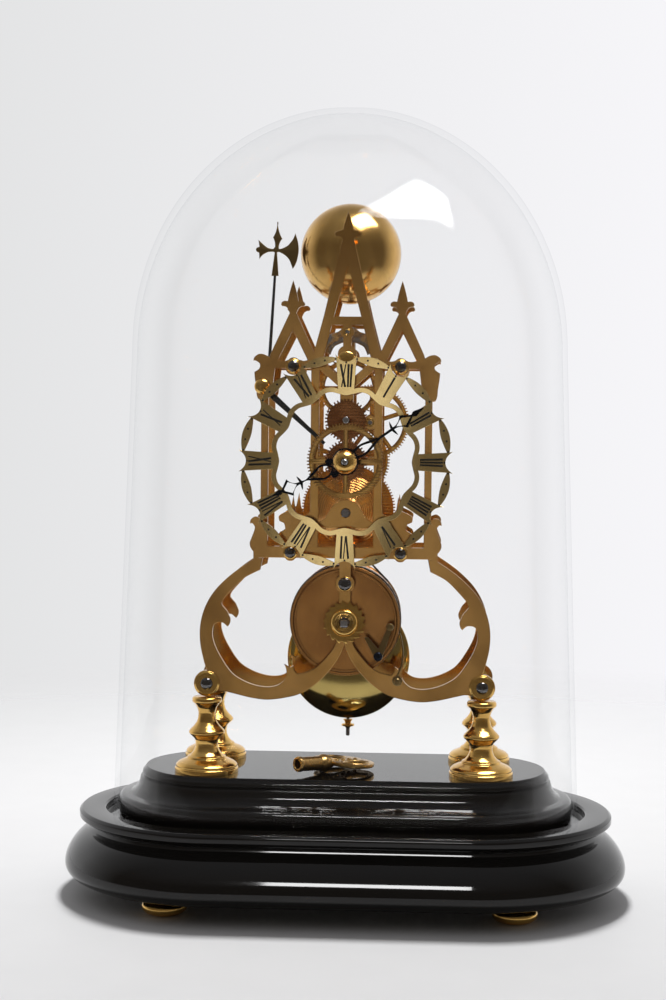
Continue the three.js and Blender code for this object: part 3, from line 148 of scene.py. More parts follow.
def calculated(tree, operation, first, second=0.0):
    """One step of arithmetic."""
    return add_node(tree, "ShaderNodeMath", {0: first, 1: second}, operation=operation).outputs[0]


def vector_step(tree, operation, first, second=(0.0, 0.0, 0.0), output=0):
    """One step of arithmetic on places."""
    inputs = {0: first, 1: second}
    return add_node(tree, "ShaderNodeVectorMath", inputs, operation=operation).outputs[output]


def opaque(colour):
    """A colour with its alpha."""
    return (*colour, 1.0)


def set_bump(tree, surface, height, strength, distance):
    """Relief from a height, no deeper than a distance in metres."""
    bump = add_node(tree, "ShaderNodeBump", {"Height": height, "Strength": strength, "Distance": distance})
    tree.links.new(bump.outputs[0], surface.inputs["Normal"])


def metal(name, colour, tarnish, roughness, grain=(1.0, 1.0, 1.0), patch=60.0, relief=0.000002):
    """Polished metal: slow tarnish, fine lapping marks along the grain, and a slightly uneven gloss."""
    material, tree, surface = new_material(name)
    patches = noise(tree, patch, 5.0)
    marks = noise(tree, 2200.0, 3.0, grain)
    cloud = ranged(tree, patches, 0.40, 0.75, 0.0, 0.7)
    surface.inputs["Metallic"].default_value = 1.0
    tree.links.new(mixed(tree, cloud, opaque(colour), opaque(tarnish)), surface.inputs["Base Color"])
    patchy = ranged(tree, patches, 0.3, 0.7, roughness * 0.85, roughness * 1.1)
    marked = ranged(tree, marks, 0.35, 0.75, 0.0, roughness * 0.3)
    tree.links.new(calculated(tree, "ADD", patchy, marked), surface.inputs["Roughness"])
    set_bump(tree, surface, marks, 0.4, relief)
    return material


def turned_metal(name, colour, tarnish, roughness, axis, ring_relief=0.000004):
    """Metal finished in a lathe: fine rings round an axis over the usual tarnish."""
    material = metal(name, colour, tarnish, roughness)
    tree = material.node_tree
    surface = tree.nodes["Principled BSDF"]
    place = add_node(tree, "ShaderNodeTexCoord").outputs["Object"]
    from_axis = vector_step(tree, "SUBTRACT", place, (axis[0] * MM, 0.0, axis[1] * MM))
    flat = vector_step(tree, "MULTIPLY", from_axis, (1.0, 0.0, 1.0))
    radius = vector_step(tree, "LENGTH", flat, output="Value")
    inputs = {"W": radius, "Scale": 1500.0, "Detail": 3.0}
    rings = add_node(tree, "ShaderNodeTexNoise", inputs, noise_dimensions="1D").outputs[0]
    set_bump(tree, surface, rings, 0.7, ring_relief)
    return material


def ebonised_wood():
    """French-polished black wood: deep gloss with faint ripples and a little dust."""
    material, tree, surface = new_material("ebonised_wood")
    grain = noise(tree, 40.0, 4.0, (0.25, 1.0, 3.0))
    specks = ranged(tree, noise(tree, 1800.0, 2.0), 0.70, 0.76, 0.0, 1.0)
    dusty = calculated(tree, "MULTIPLY", specks, ranged(tree, noise(tree, 18.0), 0.50, 0.70, 0.0, 0.5))
    body = mixed(tree, grain, (0.0020, 0.0018, 0.0016, 1.0), (0.0050, 0.0042, 0.0036, 1.0))
    tree.links.new(mixed(tree, dusty, body, (0.05, 0.048, 0.045, 1.0)), surface.inputs["Base Color"])
    tree.links.new(ranged(tree, grain, 0.3, 0.7, 0.045, 0.06), surface.inputs["Roughness"])
    surface.inputs["IOR"].default_value = 1.42
    set_bump(tree, surface, grain, 0.1, 0.00002)
    return material


def clear_glass():
    """Thin blown glass: clear face on, reflecting and faintly grey towards its edges, with slow ripples."""
    material = bpy.data.materials.new("clear_glass")
    material.use_nodes = True
    tree = material.node_tree
    tree.nodes.clear()
    ripples = noise(tree, 7.0, 1.0, (1.0, 1.0, 0.5))
    inputs = {"Height": ripples, "Strength": 0.5, "Distance": 0.0008}
    bump = add_node(tree, "ShaderNodeBump", inputs).outputs[0]
    facing = add_node(tree, "ShaderNodeLayerWeight", {"Blend": 0.5}).outputs["Facing"]
    edge = calculated(tree, "POWER", facing, 6.0)
    tint = mixed(tree, edge, (0.996, 0.997, 0.997, 1.0), (0.93, 0.935, 0.94, 1.0))
    through = add_node(tree, "ShaderNodeBsdfTransparent", {"Color": tint}).outputs[0]
    mirror = add_node(tree, "ShaderNodeBsdfGlossy", {"Roughness": 0.0, "Normal": bump}).outputs[0]
    amount = add_node(tree, "ShaderNodeFresnel", {"IOR": 1.45, "Normal": bump}).outputs[0]
    shadow = add_node(tree, "ShaderNodeLightPath").outputs["Is Shadow Ray"]
    held = calculated(tree, "MINIMUM", calculated(tree, "MULTIPLY", amount, 0.28), 0.06)
    seen = calculated(tree, "MULTIPLY", held, calculated(tree, "SUBTRACT", 1.0, shadow))
    surface = add_node(tree, "ShaderNodeMixShader", {0: seen, 1: through, 2: mirror}).outputs[0]
    add_node(tree, "ShaderNodeOutputMaterial", {"Surface": surface})
    return material


def black_wax():
    """The matt black filling of the numerals and minute dots."""
    material, tree, surface = new_material("black_wax")
    worn = noise(tree, 1200.0, 4.0)
    bare = ranged(tree, worn, 0.55, 0.8, 0.0, 1.0)
    tint = mixed(tree, bare, (0.006, 0.005, 0.004, 1.0), (0.05, 0.04, 0.025, 1.0))
    tree.links.new(tint, surface.inputs["Base Color"])
    tree.links.new(ranged(tree, worn, 0.3, 0.7, 0.35, 0.6), surface.inputs["Roughness"])
    set_bump(tree, surface, worn, 0.4, 0.00004)
    return material


brass_plate = metal("brass_plate", (0.60, 0.34, 0.11), (0.34, 0.17, 0.05), 0.16, (0.4, 1.0, 3.0), 35.0)
brass_bright = metal("brass_bright", (0.80, 0.50, 0.15), (0.56, 0.30, 0.07), 0.16)
brass_wheel = metal("brass_wheel", (0.70, 0.42, 0.14), (0.46, 0.24, 0.08), 0.2)
brass_red = metal("brass_red", (0.42, 0.18, 0.07), (0.24, 0.09, 0.035), 0.24)
brass_pale = metal("brass_pale", (0.82, 0.62, 0.28), (0.62, 0.42, 0.15), 0.08)
brass_bob = metal("brass_bob", (0.56, 0.42, 0.14), (0.36, 0.26, 0.08), 0.09, patch=25.0)
brass_cast = metal("brass_cast", (0.62, 0.40, 0.15), (0.20, 0.11, 0.04), 0.28, patch=420.0, relief=0.00008)
bronze = metal("bronze", (0.30, 0.21, 0.09), (0.20, 0.13, 0.05), 0.3, patch=90.0)
steel = metal("steel", (0.50, 0.50, 0.52), (0.34, 0.33, 0.33), 0.2)
screw_steel = metal("screw_steel", (0.15, 0.145, 0.145), (0.09, 0.085, 0.085), 0.09)
blue_steel = metal("blue_steel", (0.030, 0.036, 0.050), (0.015, 0.015, 0.020), 0.16, patch=90.0)
lever_steel = metal("lever_steel", (0.12, 0.13, 0.145), (0.06, 0.06, 0.065), 0.25, patch=90.0)
spring_steel = metal("spring_steel", (0.17, 0.16, 0.15), (0.09, 0.075, 0.06), 0.3, patch=120.0)
barrel_brass = turned_metal("barrel_brass", (0.47, 0.23, 0.075), (0.36, 0.16, 0.05), 0.2, BARREL, 0.000003)
fusee_brass = turned_metal("fusee_brass", (0.66, 0.34, 0.11), (0.48, 0.22, 0.07), 0.16, FUSEE)
bell_brass = turned_metal("bell_brass", (0.68, 0.42, 0.14), (0.50, 0.28, 0.08), 0.15, BELL_CENTRE, 0.000002)
black_wood = ebonised_wood()
glass = clear_glass()
numeral_black = black_wax()


# ---------------------------------------------------------------- meshes


def add(name, mesh, material, body, stands_for=(), smooth=38.0):
    """Puts a mesh drawn in millimetres into the scene as a piece that rides on a body."""
    mesh.transform(Matrix.Scale(MM, 4))
    mesh.materials.clear()
    mesh.materials.append(material)
    mesh.shade_smooth()
    mesh.set_sharp_from_angle(angle=math.radians(smooth))
    piece = bpy.data.objects.new(name, mesh)
    bpy.context.scene.collection.objects.link(piece)
    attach(piece, body)
    if stands_for:
        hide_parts(*stands_for)
    return piece


def finished(work, name="shape"):
    """A bmesh as a mesh whose faces look outwards."""
    bmesh.ops.remove_doubles(work, verts=work.verts, dist=1e-4)
    bmesh.ops.recalc_face_normals(work, faces=work.faces)
    mesh = bpy.data.meshes.new(name)
    work.to_mesh(mesh)
    work.free()
    return mesh


def merged(*meshes):
    """Several meshes as one."""
    work = bmesh.new()
    for mesh in meshes:
        work.from_mesh(mesh)
        bpy.data.meshes.remove(mesh)
    mesh = bpy.data.meshes.new("merged")
    work.to_mesh(mesh)
    work.free()
    return mesh


def loft(rings, closed=False):
    """Skin over rings of equally many points, with flat ends, or joined end to start."""
    work = bmesh.new()
    rows = [[work.verts.new(point) for point in ring] for ring in rings]
    count = len(rows[0])
    pairs = list(zip(rows, rows[1:]))
    if closed:
        pairs.append((rows[-1], rows[0]))
    for low, high in pairs:
        for i in range(count):
            j = (i + 1) % count
            work.faces.new((low[i], low[j], high[j], high[i]))
    if not closed:
        work.faces.new(rows[0][::-1])
        work.faces.new(rows[-1])
    return finished(work)


def eased(points, radius=0.25, closed=False, steps=3):
    """A profile with its corners rounded, so that its edges catch the light."""
    gentle = math.radians(6)
    result = []
    count = len(points)
    for i, point in enumerate(points):
        here = Vector(point)
        before = Vector(points[i - 1]) - here
        after = Vector(points[(i + 1) % count]) - here
        at_end = not closed and i in (0, count - 1)
        if at_end or min(before.length, after.length) < 1e-6 or (-before).angle(after) < gentle:
            result.append(here)
            continue
        reach = min(radius, 0.45 * before.length, 0.45 * after.length)
        start = here + before.normalized() * reach
        end = here + after.normalized() * reach
        for k in range(steps + 1):
            share = k / steps
            result.append(start.lerp(here, share).lerp(here.lerp(end, share), share))
    return result


def full_turn(steps):
    """The angles of evenly spaced points once round, in radians."""
    return [2 * math.pi * i / steps for i in range(steps)]


def lathe(profile, x, place, axis="Y", segments=64, ease=0.2, closed=False, start=0.0):
    """A turned piece lying along Y, or standing along Z.

    The profile holds (radius, distance along the axis from the start). The axis stands at x and at place,
    which is its z, or its y when it stands along Z.
    """
    rings = []
    for radius, length in eased([(r, start + distance) for r, distance in profile], ease, closed):
        ring = []
        for angle in full_turn(segments):
            across = max(radius, 0.02) * math.cos(angle)
            up = max(radius, 0.02) * math.sin(angle)
            ring.append((x + across, length, place + up) if axis == "Y" else (x + across, place + up, length))
        rings.append(ring)
    return loft(rings, closed)


def circle(x, z, radius, steps=40):
    """A round outline."""
    return [(x + radius * math.cos(angle), z + radius * math.sin(angle)) for angle in full_turn(steps)]


def arc(x, z, radius, start, end, steps=12):
    """Points along a circle, in degrees anticlockwise from +X."""
    angles = [math.radians(start + (end - start) * i / steps) for i in range(steps + 1)]
    return [(x + radius * math.cos(angle), z + radius * math.sin(angle)) for angle in angles]


def bezier(a, b, c, d, steps=10):
    """Points along a cubic curve, without its end."""
    a, b, c, d = (Vector(p) for p in (a, b, c, d))
    shares = [i / steps for i in range(steps)]
    return [a * (1 - t) ** 3 + 3 * b * t * (1 - t) ** 2 + 3 * c * t * t * (1 - t) + d * t**3 for t in shares]


def turns_left(loop):
    """Whether a loop runs anticlockwise."""
    return sum(a[0] * b[1] - b[0] * a[1] for a, b in zip(loop, loop[1:] + loop[:1])) > 0


def holds(loop, point):
    """Whether a point lies inside a loop."""
    inside = False
    for a, b in zip(loop, loop[1:] + loop[:1]):
        if (a[1] > point[1]) != (b[1] > point[1]):
            crossing = a[0] + (point[1] - a[1]) * (b[0] - a[0]) / (b[1] - a[1])
            inside = inside != (point[0] < crossing)
    return inside


def apart(points, least):
    """The points that lie further than a least distance from the one before."""
    return [point for i, point in enumerate(points) if (point - points[i - 1]).length > least]


def inset(loop, distance):
    """A loop moved to its left by a distance; sharp corners move no further than one and a half times it."""
    result = []
    for i, here in enumerate(loop):
        before = (here - loop[i - 1]).normalized()
        after = (loop[(i + 1) % len(loop)] - here).normalized()
        middle = Vector((-before.y - after.y, before.x + after.x))
        if middle.length < 1e-6:
            middle = Vector((-before.x, -before.y))
        middle.normalize()
        slant = max(2 / 3, middle.dot(Vector((-before.y, before.x))))
        result.append(here + middle * distance / slant)
    return result


def extruded(loops, front, back, bevel=0.2):
    """Closed outlines, with inner ones as openings, as a sheet between two depths with rounded edges."""
    shaped = []
    for loop in loops:
        points = apart([Vector(p) for p in loop], 1e-3)
        is_outer = sum(holds(other, loop[0]) for other in loops if other is not loop) % 2 == 0
        shaped.append(points if turns_left(points) == is_outer else points[::-1])
    levels = [(bevel, front), (0.3 * bevel, front + 0.3 * bevel), (0.0, front + bevel)]
    levels += [(distance, front + back - depth) for distance, depth in levels[::-1]]
    work = bmesh.new()
    rows = []
    for distance, depth in levels:
        rows.append([[work.verts.new((x, depth, z)) for x, z in inset(loop, distance)] for loop in shaped])
    for near, far in zip(rows, rows[1:]):
        for low, high in zip(near, far):
            for i, vertex in enumerate(low):
                j = (i + 1) % len(low)
                work.faces.new((vertex, low[j], high[j], high[i]))
    for row, depth in ((rows[0], front), (rows[-1], back)):
        corners = [vertex for ring in row for vertex in ring]
        flat = [[Vector((vertex.co.x, vertex.co.z, 0.0)) for vertex in ring] for ring in row]
        for triangle in tessellate_polygon(flat):
            if len(set(triangle)) == 3:
                work.faces.new([corners[i] for i in triangle])
    return finished(work)


def outlines(node, depth):
    """Outlines of a CAD sheet on its flat face that looks forwards at a depth, openings included."""
    mesh = frame["nodes"][node].data
    edges = set()
    for face in mesh.polygons:
        if face.normal.y > -0.999 or abs(face.center.y / MM - depth) > 0.02:
            continue
        places = [mesh.vertices[i].co for i in face.vertices]
        keys = [(round(co.x / MM, 4), round(co.z / MM, 4)) for co in places]
        for edge in zip(keys, keys[1:] + keys[:1]):
            if edge[::-1] in edges:
                edges.remove(edge[::-1])
            else:
                edges.add(edge)
    onward = {}
    for start, end in sorted(edges):
        onward.setdefault(start, []).append(end)
    loops = []
    while onward:
        start = next(iter(onward))
        loop = [start]
        here = start
        while True:
            following = onward[here].pop()
            if not onward[here]:
                del onward[here]
            if following == start:
                break
            loop.append(following)
            here = following
        loops.append(loop)
    return loops


def without_repeats(loop):
    """A loop without points that repeat or that lie on a straight line."""
    points = apart([Vector(point) for point in loop], 0.03)
    count = len(points)
    bends = []
    for i, here in enumerate(points):
        before = here - points[i - 1]
        after = points[(i + 1) % count] - here
        if before.angle(after) > math.radians(0.4):
            bends.append(here)
    return bends


STRAIGHT = 8.6  # a side this long is a straight edge, not a step along a curve
CORNER = math.radians(42)


def flowing(loop, step=0.8, corner=CORNER):
    """A loop of short straight steps as smooth runs between its sharp corners."""
    points = without_repeats(loop)
    count = len(points)
    sides = [points[(i + 1) % count] - points[i] for i in range(count)]
    tangents = []
    for i in range(count):
        before, after = sides[i - 1], sides[i]
        if before.angle(after) > corner or (before.length > STRAIGHT and after.length > STRAIGHT):
            tangents.append(None)
        elif before.length > STRAIGHT:
            tangents.append(before.normalized())
        elif after.length > STRAIGHT:
            tangents.append(after.normalized())
        else:
            weighted = before.normalized() * after.length + after.normalized() * before.length
            tangents.append(weighted.normalized())
    result = []
    for i, side in enumerate(sides):
        result.append(points[i])
        start, end = tangents[i], tangents[(i + 1) % count]
        if side.length > STRAIGHT or (start is None and end is None):
            continue
        chord = side.normalized()
        start = start or 2 * end.dot(chord) * chord - end
        end = end or 2 * start.dot(chord) * chord - start
        pieces = max(1, math.ceil(side.length / step))
        for k in range(1, pieces):
            t = k / pieces
            result.append(
                points[i] * (2 * t**3 - 3 * t**2 + 1)
                + start * side.length * (t**3 - 2 * t**2 + t)
                + (points[i] + side) * (3 * t**2 - 2 * t**3)
                + end * side.length * (t**3 - t**2)
            )
    return result


def refined(node, front, back, bevel=0.2, step=0.8, corner=CORNER):
    """A CAD sheet's outlines at its front face, smoothed and given rounded edges."""
    loops = [flowing(loop, step, corner) for loop in outlines(node, front)]
    return extruded(loops, front, back, bevel)


def block(low, high, bevel=0.25):
    """A rectangular bar with rounded edges, given by two corners."""
    outline = [(low[0], low[2]), (high[0], low[2]), (high[0], high[2]), (low[0], high[2])]
    return extruded([outline], low[1], high[1], bevel)


def moved(loop, clockwise, centre):
    """A loop turned clockwise about the origin and then moved to a centre."""
    cos, sin = math.cos(math.radians(-clockwise)), math.sin(math.radians(-clockwise))
    return [(centre[0] + x * cos - z * sin, centre[1] + x * sin + z * cos) for x, z in loop]


def bar(start, end, width, end_width=None):
    """A straight strip between two points, tapering if the widths differ."""
    along = (Vector(end) - Vector(start)).normalized()
    side = Vector((-along.y, along.x))
    first, last = side * width / 2, side * (end_width or width) / 2
    return [Vector(start) + first, Vector(start) - first, Vector(end) - last, Vector(end) + last]



# ---------------------------------------------------------------- base, feet and dome

BASE_CENTRES = 78.5  # the base's round ends are centred this far from its middle
PILLAR_FOOT_Y = 25.0
DOME_FOOT_Z = 57.0
DOME_WIDTH = (343.7, 146.8, 136.5)  # where its crown begins, and its half-width low down and there
DOME_DEPTH = (413.7, 68.3, 63.0)


def oval_sweep(profile, ease=0.5, steps=40):
    """A moulding whose plan is a straight-sided oval. The profile holds (half-width, height)."""
    rings = []
    for half_width, height in eased(profile, ease):
        radius = half_width - BASE_CENTRES
        plan = arc(BASE_CENTRES, 0, radius, -90, 90, steps) + arc(-BASE_CENTRES, 0, radius, 90, 270, steps)
        rings.append([(x, y, height) for x, y in plan])
    return loft(rings)


def base_moulding():
    """The bold torus, its cove and the thin rim round the groove that holds the dome."""
    torus = bezier((160, 10), (171.5, 10), (177.3, 13.5), (177.3, 20), 14)
    torus += bezier((177.3, 20), (177.3, 27.5), (170.5, 37.5), (162, 41.5), 20)
    rim = [(161.4, 42.4), (160.5, 44.5), (164.6, 46.5), (168.2, 49), (168.2, 52.5), (166.4, 54)]
    groove = [(152.2, 54), (151.2, 53), (151.2, 48.5), (138, 48.5)]
    return oval_sweep([tuple(point) for point in torus] + rim + groove, 0.5, 64)


def platform_step():
    """The step inside the dome: a broad bead, a flared cove, a nosing and the platform slab."""
    bead = [(143, span("platform_step")[0].z), (143, 60.6), (142.4, 61.8), (141.2, 62.6), (137.4, 63.1)]
    cove = [(135.8, 63.3), (133.6, 64.8), (132.2, 66.6), (131.2, 68.6), (130.4, 71), (129.8, 73.2)]
    nosing = [(128.2, 73.6), (128.9, 75.2), (128.5, 77), (127.2, 78.2), (126.8, 79), (126, PLATFORM_Z)]
    return oval_sweep(bead + cove + nosing, 0.4)


def bun_foot(x, y):
    """A low turned foot, broadest near its sole, which is flat."""
    return lathe([(6, 0), (10, 0.8), (13, 2.8), (14, 5), (13.2, 7.2), (9, 10)], x, y, "Z", 72, 2.0)


def dome_half(z, shoulder, low, high):
    """Half-size of the dome at a height: nearly straight sides, then an elliptic crown."""
    if z < shoulder:
        return low + (high - low) * (z - DOME_FOOT_Z) / (shoulder - DOME_FOOT_Z)
    top = span("glass_dome")[1].z
    return high * math.sqrt(max(0.0, 1 - ((z - shoulder) / (top - shoulder)) ** 2))


def glass_dome(wall=3.0, side_levels=40, crown_levels=48, steps=30):
    """The blown dome, open below: an outer and an inner skin joined by a flat lip."""
    low, high = span("glass_dome")
    crown = DOME_DEPTH[0]
    levels = [low.z + (crown - low.z) * i / side_levels for i in range(side_levels)]
    quarter = [math.pi / 2 * i / crown_levels for i in range(crown_levels)]
    levels += [crown + (high.z - crown) * math.sin(angle) for angle in quarter]
    skins = []
    for inward in (0.0, wall):
        rings = []
        for z in levels:
            half_depth = dome_half(z, *DOME_DEPTH)
            straight = max(dome_half(z, *DOME_WIDTH) - half_depth, 0.02)
            radius = max(half_depth - inward, 0.05)
            height = z if z == levels[0] else z - inward
            plan = arc(straight, 0, radius, -90, 90, steps) + arc(-straight, 0, radius, 90, 270, steps)
            rings.append([(x, y, height) for x, y in plan])
        skins.append(rings)
    return loft(skins[1][::-1] + skins[0])


def pillar_foot(x, y):
    """A turned foot: a stepped base, a long cove, a sharp middle ring and a cupped top."""
    base = [(19.8, 0), (19.8, 2.6), (19, 3.2), (19.2, 4.4), (17.6, 6), (14.6, 7.4), (12.2, 8.3), (12, 9.4)]
    cove = [(10.2, 10.2), (8.2, 12.6), (7.1, 15.4), (7, 18), (7.6, 20.4), (9.4, 22.2)]
    ring = [(11.1, 23.8), (11.2, 25), (10.2, 26.4)]
    neck = [(8, 28.5), (6.2, 31), (5.4, 34), (5.3, 37), (6.2, 40), (7.8, 42.4)]
    cup = [(9.2, 43.4), (9.2, 45.6), (8.4, 46.5)]
    low = span("pillar_foot_front_left")[0].z
    return lathe(base + cove + ring + neck + cup, x, y, "Z", 80, 0.7, start=low)


# ---------------------------------------------------------------- frame pieces

STEM_SCREW = (0, 198)
TOP_BOSS = (0, 335.4)


def add_screw(ring_name, head_name, place, collet, head, stands_for=()):
    """A domed head over a stepped collet, both standing forwards from the front plate."""
    face = PLATE_FRONT - 0.05
    steps = [(collet, 0), (collet, -0.9), (collet - 0.8, -1.3), (collet - 1.3, -1.7), (head - 0.3, -1.7)]
    add(ring_name, lathe(steps, *place, ease=0.25, start=face), brass_bright, "frame", stands_for)
    slopes = [math.radians(a) for a in range(0, 90, 10)]
    dome = [(head * math.cos(slope), -1.6 - 2.1 * math.sin(slope)) for slope in slopes]
    cap = lathe([(head, -1.2), *dome, (0.05, -3.7)], *place, ease=0.1, start=face)
    add(head_name, cap, screw_steel, "frame", ())


def plate_pillar(x, z):
    """A turned pillar between the plates: shouldered ends, a bead at each and a swelling waist."""
    front, back = PLATE_FRONT + PLATE_THICKNESS + 0.1, REAR_FRONT - 0.1
    shoulder = [(5, 0), (5, 2), (3.6, 2.4), (3.4, 3.2)]
    bead = [(4.3, 3.8), (4.5, 4.6), (3.2, 5.4), (2.6, 8), (2.7, 12), (3.2, 20)]
    near = [(r, front + h) for r, h in shoulder + bead]
    far = [(r, back - h) for r, h in shoulder + bead][::-1]
    return lathe(near + far, x, z, ease=0.5)


# ---------------------------------------------------------------- wheels and arbors


def bearing(start, end):
    """The direction from one arbor to another, in degrees anticlockwise from +X."""
    return math.degrees(math.atan2(end[1] - start[1], end[0] - start[0]))


def module_of(start, end, teeth):
    """The module that lets two wheels with this many teeth together meet."""
    return 2 * math.dist(start, end) / teeth


def gear_loop(centre, teeth, module, phase):
    """Clock teeth, with radial flanks below the pitch circle and rounded tips; one points at the phase."""
    pitch = 360 / teeth
    radius = module * teeth / 2
    shape = [(-0.27, -1.25), (-0.235, -0.9), (-0.22, 0.0), (-0.19, 0.35), (-0.13, 0.65), (-0.05, 0.85)]
    shape += [(-share, height) for share, height in shape[::-1]]
    loop = []
    for i in range(teeth):
        for share, height in shape:
            angle = math.radians(phase + (i + share) * pitch)
            r = radius + height * module
            loop.append((centre[0] + r * math.cos(angle), centre[1] + r * math.sin(angle)))
    return loop


def crossing_loops(centre, crossings, hub, rim, width):
    """The windows between a wheel's crossings, with softened corners."""
    pitch = 360 / crossings
    loops = []
    for i in range(crossings):
        start = 90 + i * pitch
        outer, inner = (math.degrees(math.asin(width / 2 / r)) for r in (rim, hub))
        loop = arc(*centre, rim, start + outer, start + pitch - outer, 20)
        loop += arc(*centre, hub, start + pitch - inner, start + inner, 8)
        loops.append(eased(loop, 0.9, closed=True))
    return loops


def wheel(centre, outline, depth, hole, crossings=()):
    """A toothed wheel, crossed out or solid, bored for its arbor."""
    return extruded([outline, circle(*centre, hole, 32), *crossings], *depth, bevel=0.06)


def arbor(centre, spans):
    """A stepped shaft from (radius, front, back) lengths laid end to end."""
    profile = [point for radius, front, back in spans for point in ((radius, front), (radius, back))]
    return lathe(profile, *centre, ease=0.12, segments=40)


# ---------------------------------------------------------------- dial numerals

NUMERALS = ("XII", "I", "II", "III", "IIII", "V", "VI", "VII", "VIII", "IX", "X", "XI")
NUMERAL_FOOT, NUMERAL_HEAD = 45.5, 59.4
TOWARDS_CENTRE = NUMERAL_FOOT / NUMERAL_HEAD  # how much narrower a numeral is at its foot
LETTER_WIDTHS = {"I": 1.25, "V": 3.9, "X": 4.1}
LETTER_GAP, THICK, THIN = 0.75, 1.3, 0.7


def numeral_stroke(foot, head, width, head_width=None):
    """One stroke of a letter, from its foot to its head."""
    return bar((foot, NUMERAL_FOOT), (head, NUMERAL_HEAD), width, head_width)


def numeral_strokes(text):
    """Strokes of one numeral, drawn at twelve with its foot towards the centre."""
    left = -(sum(LETTER_WIDTHS[letter] for letter in text) + LETTER_GAP * (len(text) - 1)) / 2
    strokes = []
    for letter in text:
        right = left + LETTER_WIDTHS[letter]
        middle = (left + right) / 2
        foot = middle * TOWARDS_CENTRE
        head_left, head_right = left + THICK / 2, right - THIN / 2
        foot_left, foot_right = left * TOWARDS_CENTRE + THIN / 2, right * TOWARDS_CENTRE - THICK / 2
        if letter == "I":
            strokes.append(numeral_stroke(foot, middle, THICK * 0.9, THICK))
        elif letter == "V":
            strokes.append(numeral_stroke(foot - 0.1, head_left, THICK * 0.8, THICK))
            strokes.append(numeral_stroke(foot + 0.2, head_right, THIN))
        else:
            strokes.append(numeral_stroke(foot_right, head_left, THICK))
            strokes.append(numeral_stroke(foot_left, head_right, THIN))
        left = right + LETTER_GAP
    return strokes


def numerals(face):
    """All twelve numerals and the sixty minute dots, filled proud of the dial by a hair."""
    parts = []
    for hour, text in enumerate(NUMERALS):
        for i, stroke in enumerate(numeral_strokes(text)):
            proud = face - 0.08 - 0.03 * i
            parts.append(extruded([moved(stroke, 30 * hour, CENTRE)], proud, face + 0.05, 0.02))
    for minute in range(60):
        radius = 60.4 if minute % 5 == 0 else 62.9
        spot = moved([(0, radius)], 6 * minute, CENTRE)[0]
        parts.append(lathe([(0.62, 0.05), (0.62, -0.1)], *spot, ease=0.03, segments=14, start=face))
    return merged(*parts)


# ---------------------------------------------------------------- chain

LINK = 2.3


def chain_link(place, along, outward, wide):
    """One chain link: a waisted plate between two rivets, or a pair of plates when wide."""
    across = along.cross(outward).normalized()
    outline = arc(LINK / 2, 0, 0.62, -120, 120, 7) + arc(-LINK / 2, 0, 0.62, 60, 300, 7)
    layers = [(-0.75, -0.35), (0.35, 0.75)] if wide else [(-0.25, 0.25)]
    meshes = []
    for layer in layers:
        rings = [[place + along * x + outward * z + across * level for x, z in outline] for level in layer]
        meshes.append(loft(rings))
    return meshes


def chain(path):
    """Links laid along evenly spaced (place, outward) points of a path."""
    parts = []
    for i, ((first, out_first), (last, out_last)) in enumerate(zip(path, path[1:])):
        along = (last - first).normalized()
        parts += chain_link((first + last) / 2, along, (out_first + out_last).normalized(), i % 2 == 0)
    return merged(*parts)


def coil_path(centre, radius, coils, start_angle, start_y, end_y):
    """Points one link apart along a coil, from an angle in degrees; a count below 0 runs clockwise."""
    count = int(abs(coils) * 2 * math.pi * radius / LINK)
    path = []
    for i in range(count + 1):
        share = i / count
        angle = math.radians(start_angle) + 2 * math.pi * coils * share
        outward = Vector((math.cos(angle), 0, math.sin(angle)))
        y = start_y + (end_y - start_y) * share
        path.append((Vector((centre[0], y, centre[1])) + outward * radius, outward))
    return path


# ---------------------------------------------------------------- base and frame in place

CORNERS = {"front_left": (-1, -1), "front_right": (1, -1), "rear_left": (-1, 1), "rear_right": (1, 1)}
SIDES = {"left": -1, "right": 1}


def build_base():
    """The ebonised base, its feet, the dome and the four pillar feet."""
    for node, mesh in (("base_moulding", base_moulding()), ("platform_step", platform_step())):
        add(f"{node}_polished", mesh, black_wood, "frame", [node], 30)
    add("glass_dome_clear", glass_dome(), glass, "dome", ["glass_dome"], 60)
    for name, (side, depth) in CORNERS.items():
        low, high = span(f"bun_foot_{name}")
        foot = bun_foot((low.x + high.x) / 2, (low.y + high.y) / 2)
        add(f"bun_foot_{name}_turned", foot, brass_bright, "frame", [f"bun_foot_{name}"])
        foot = pillar_foot(side * LUG[0], depth * PILLAR_FOOT_Y)
        add(f"pillar_foot_{name}_turned", foot, brass_bright, "frame", [f"pillar_foot_{name}"], 50)


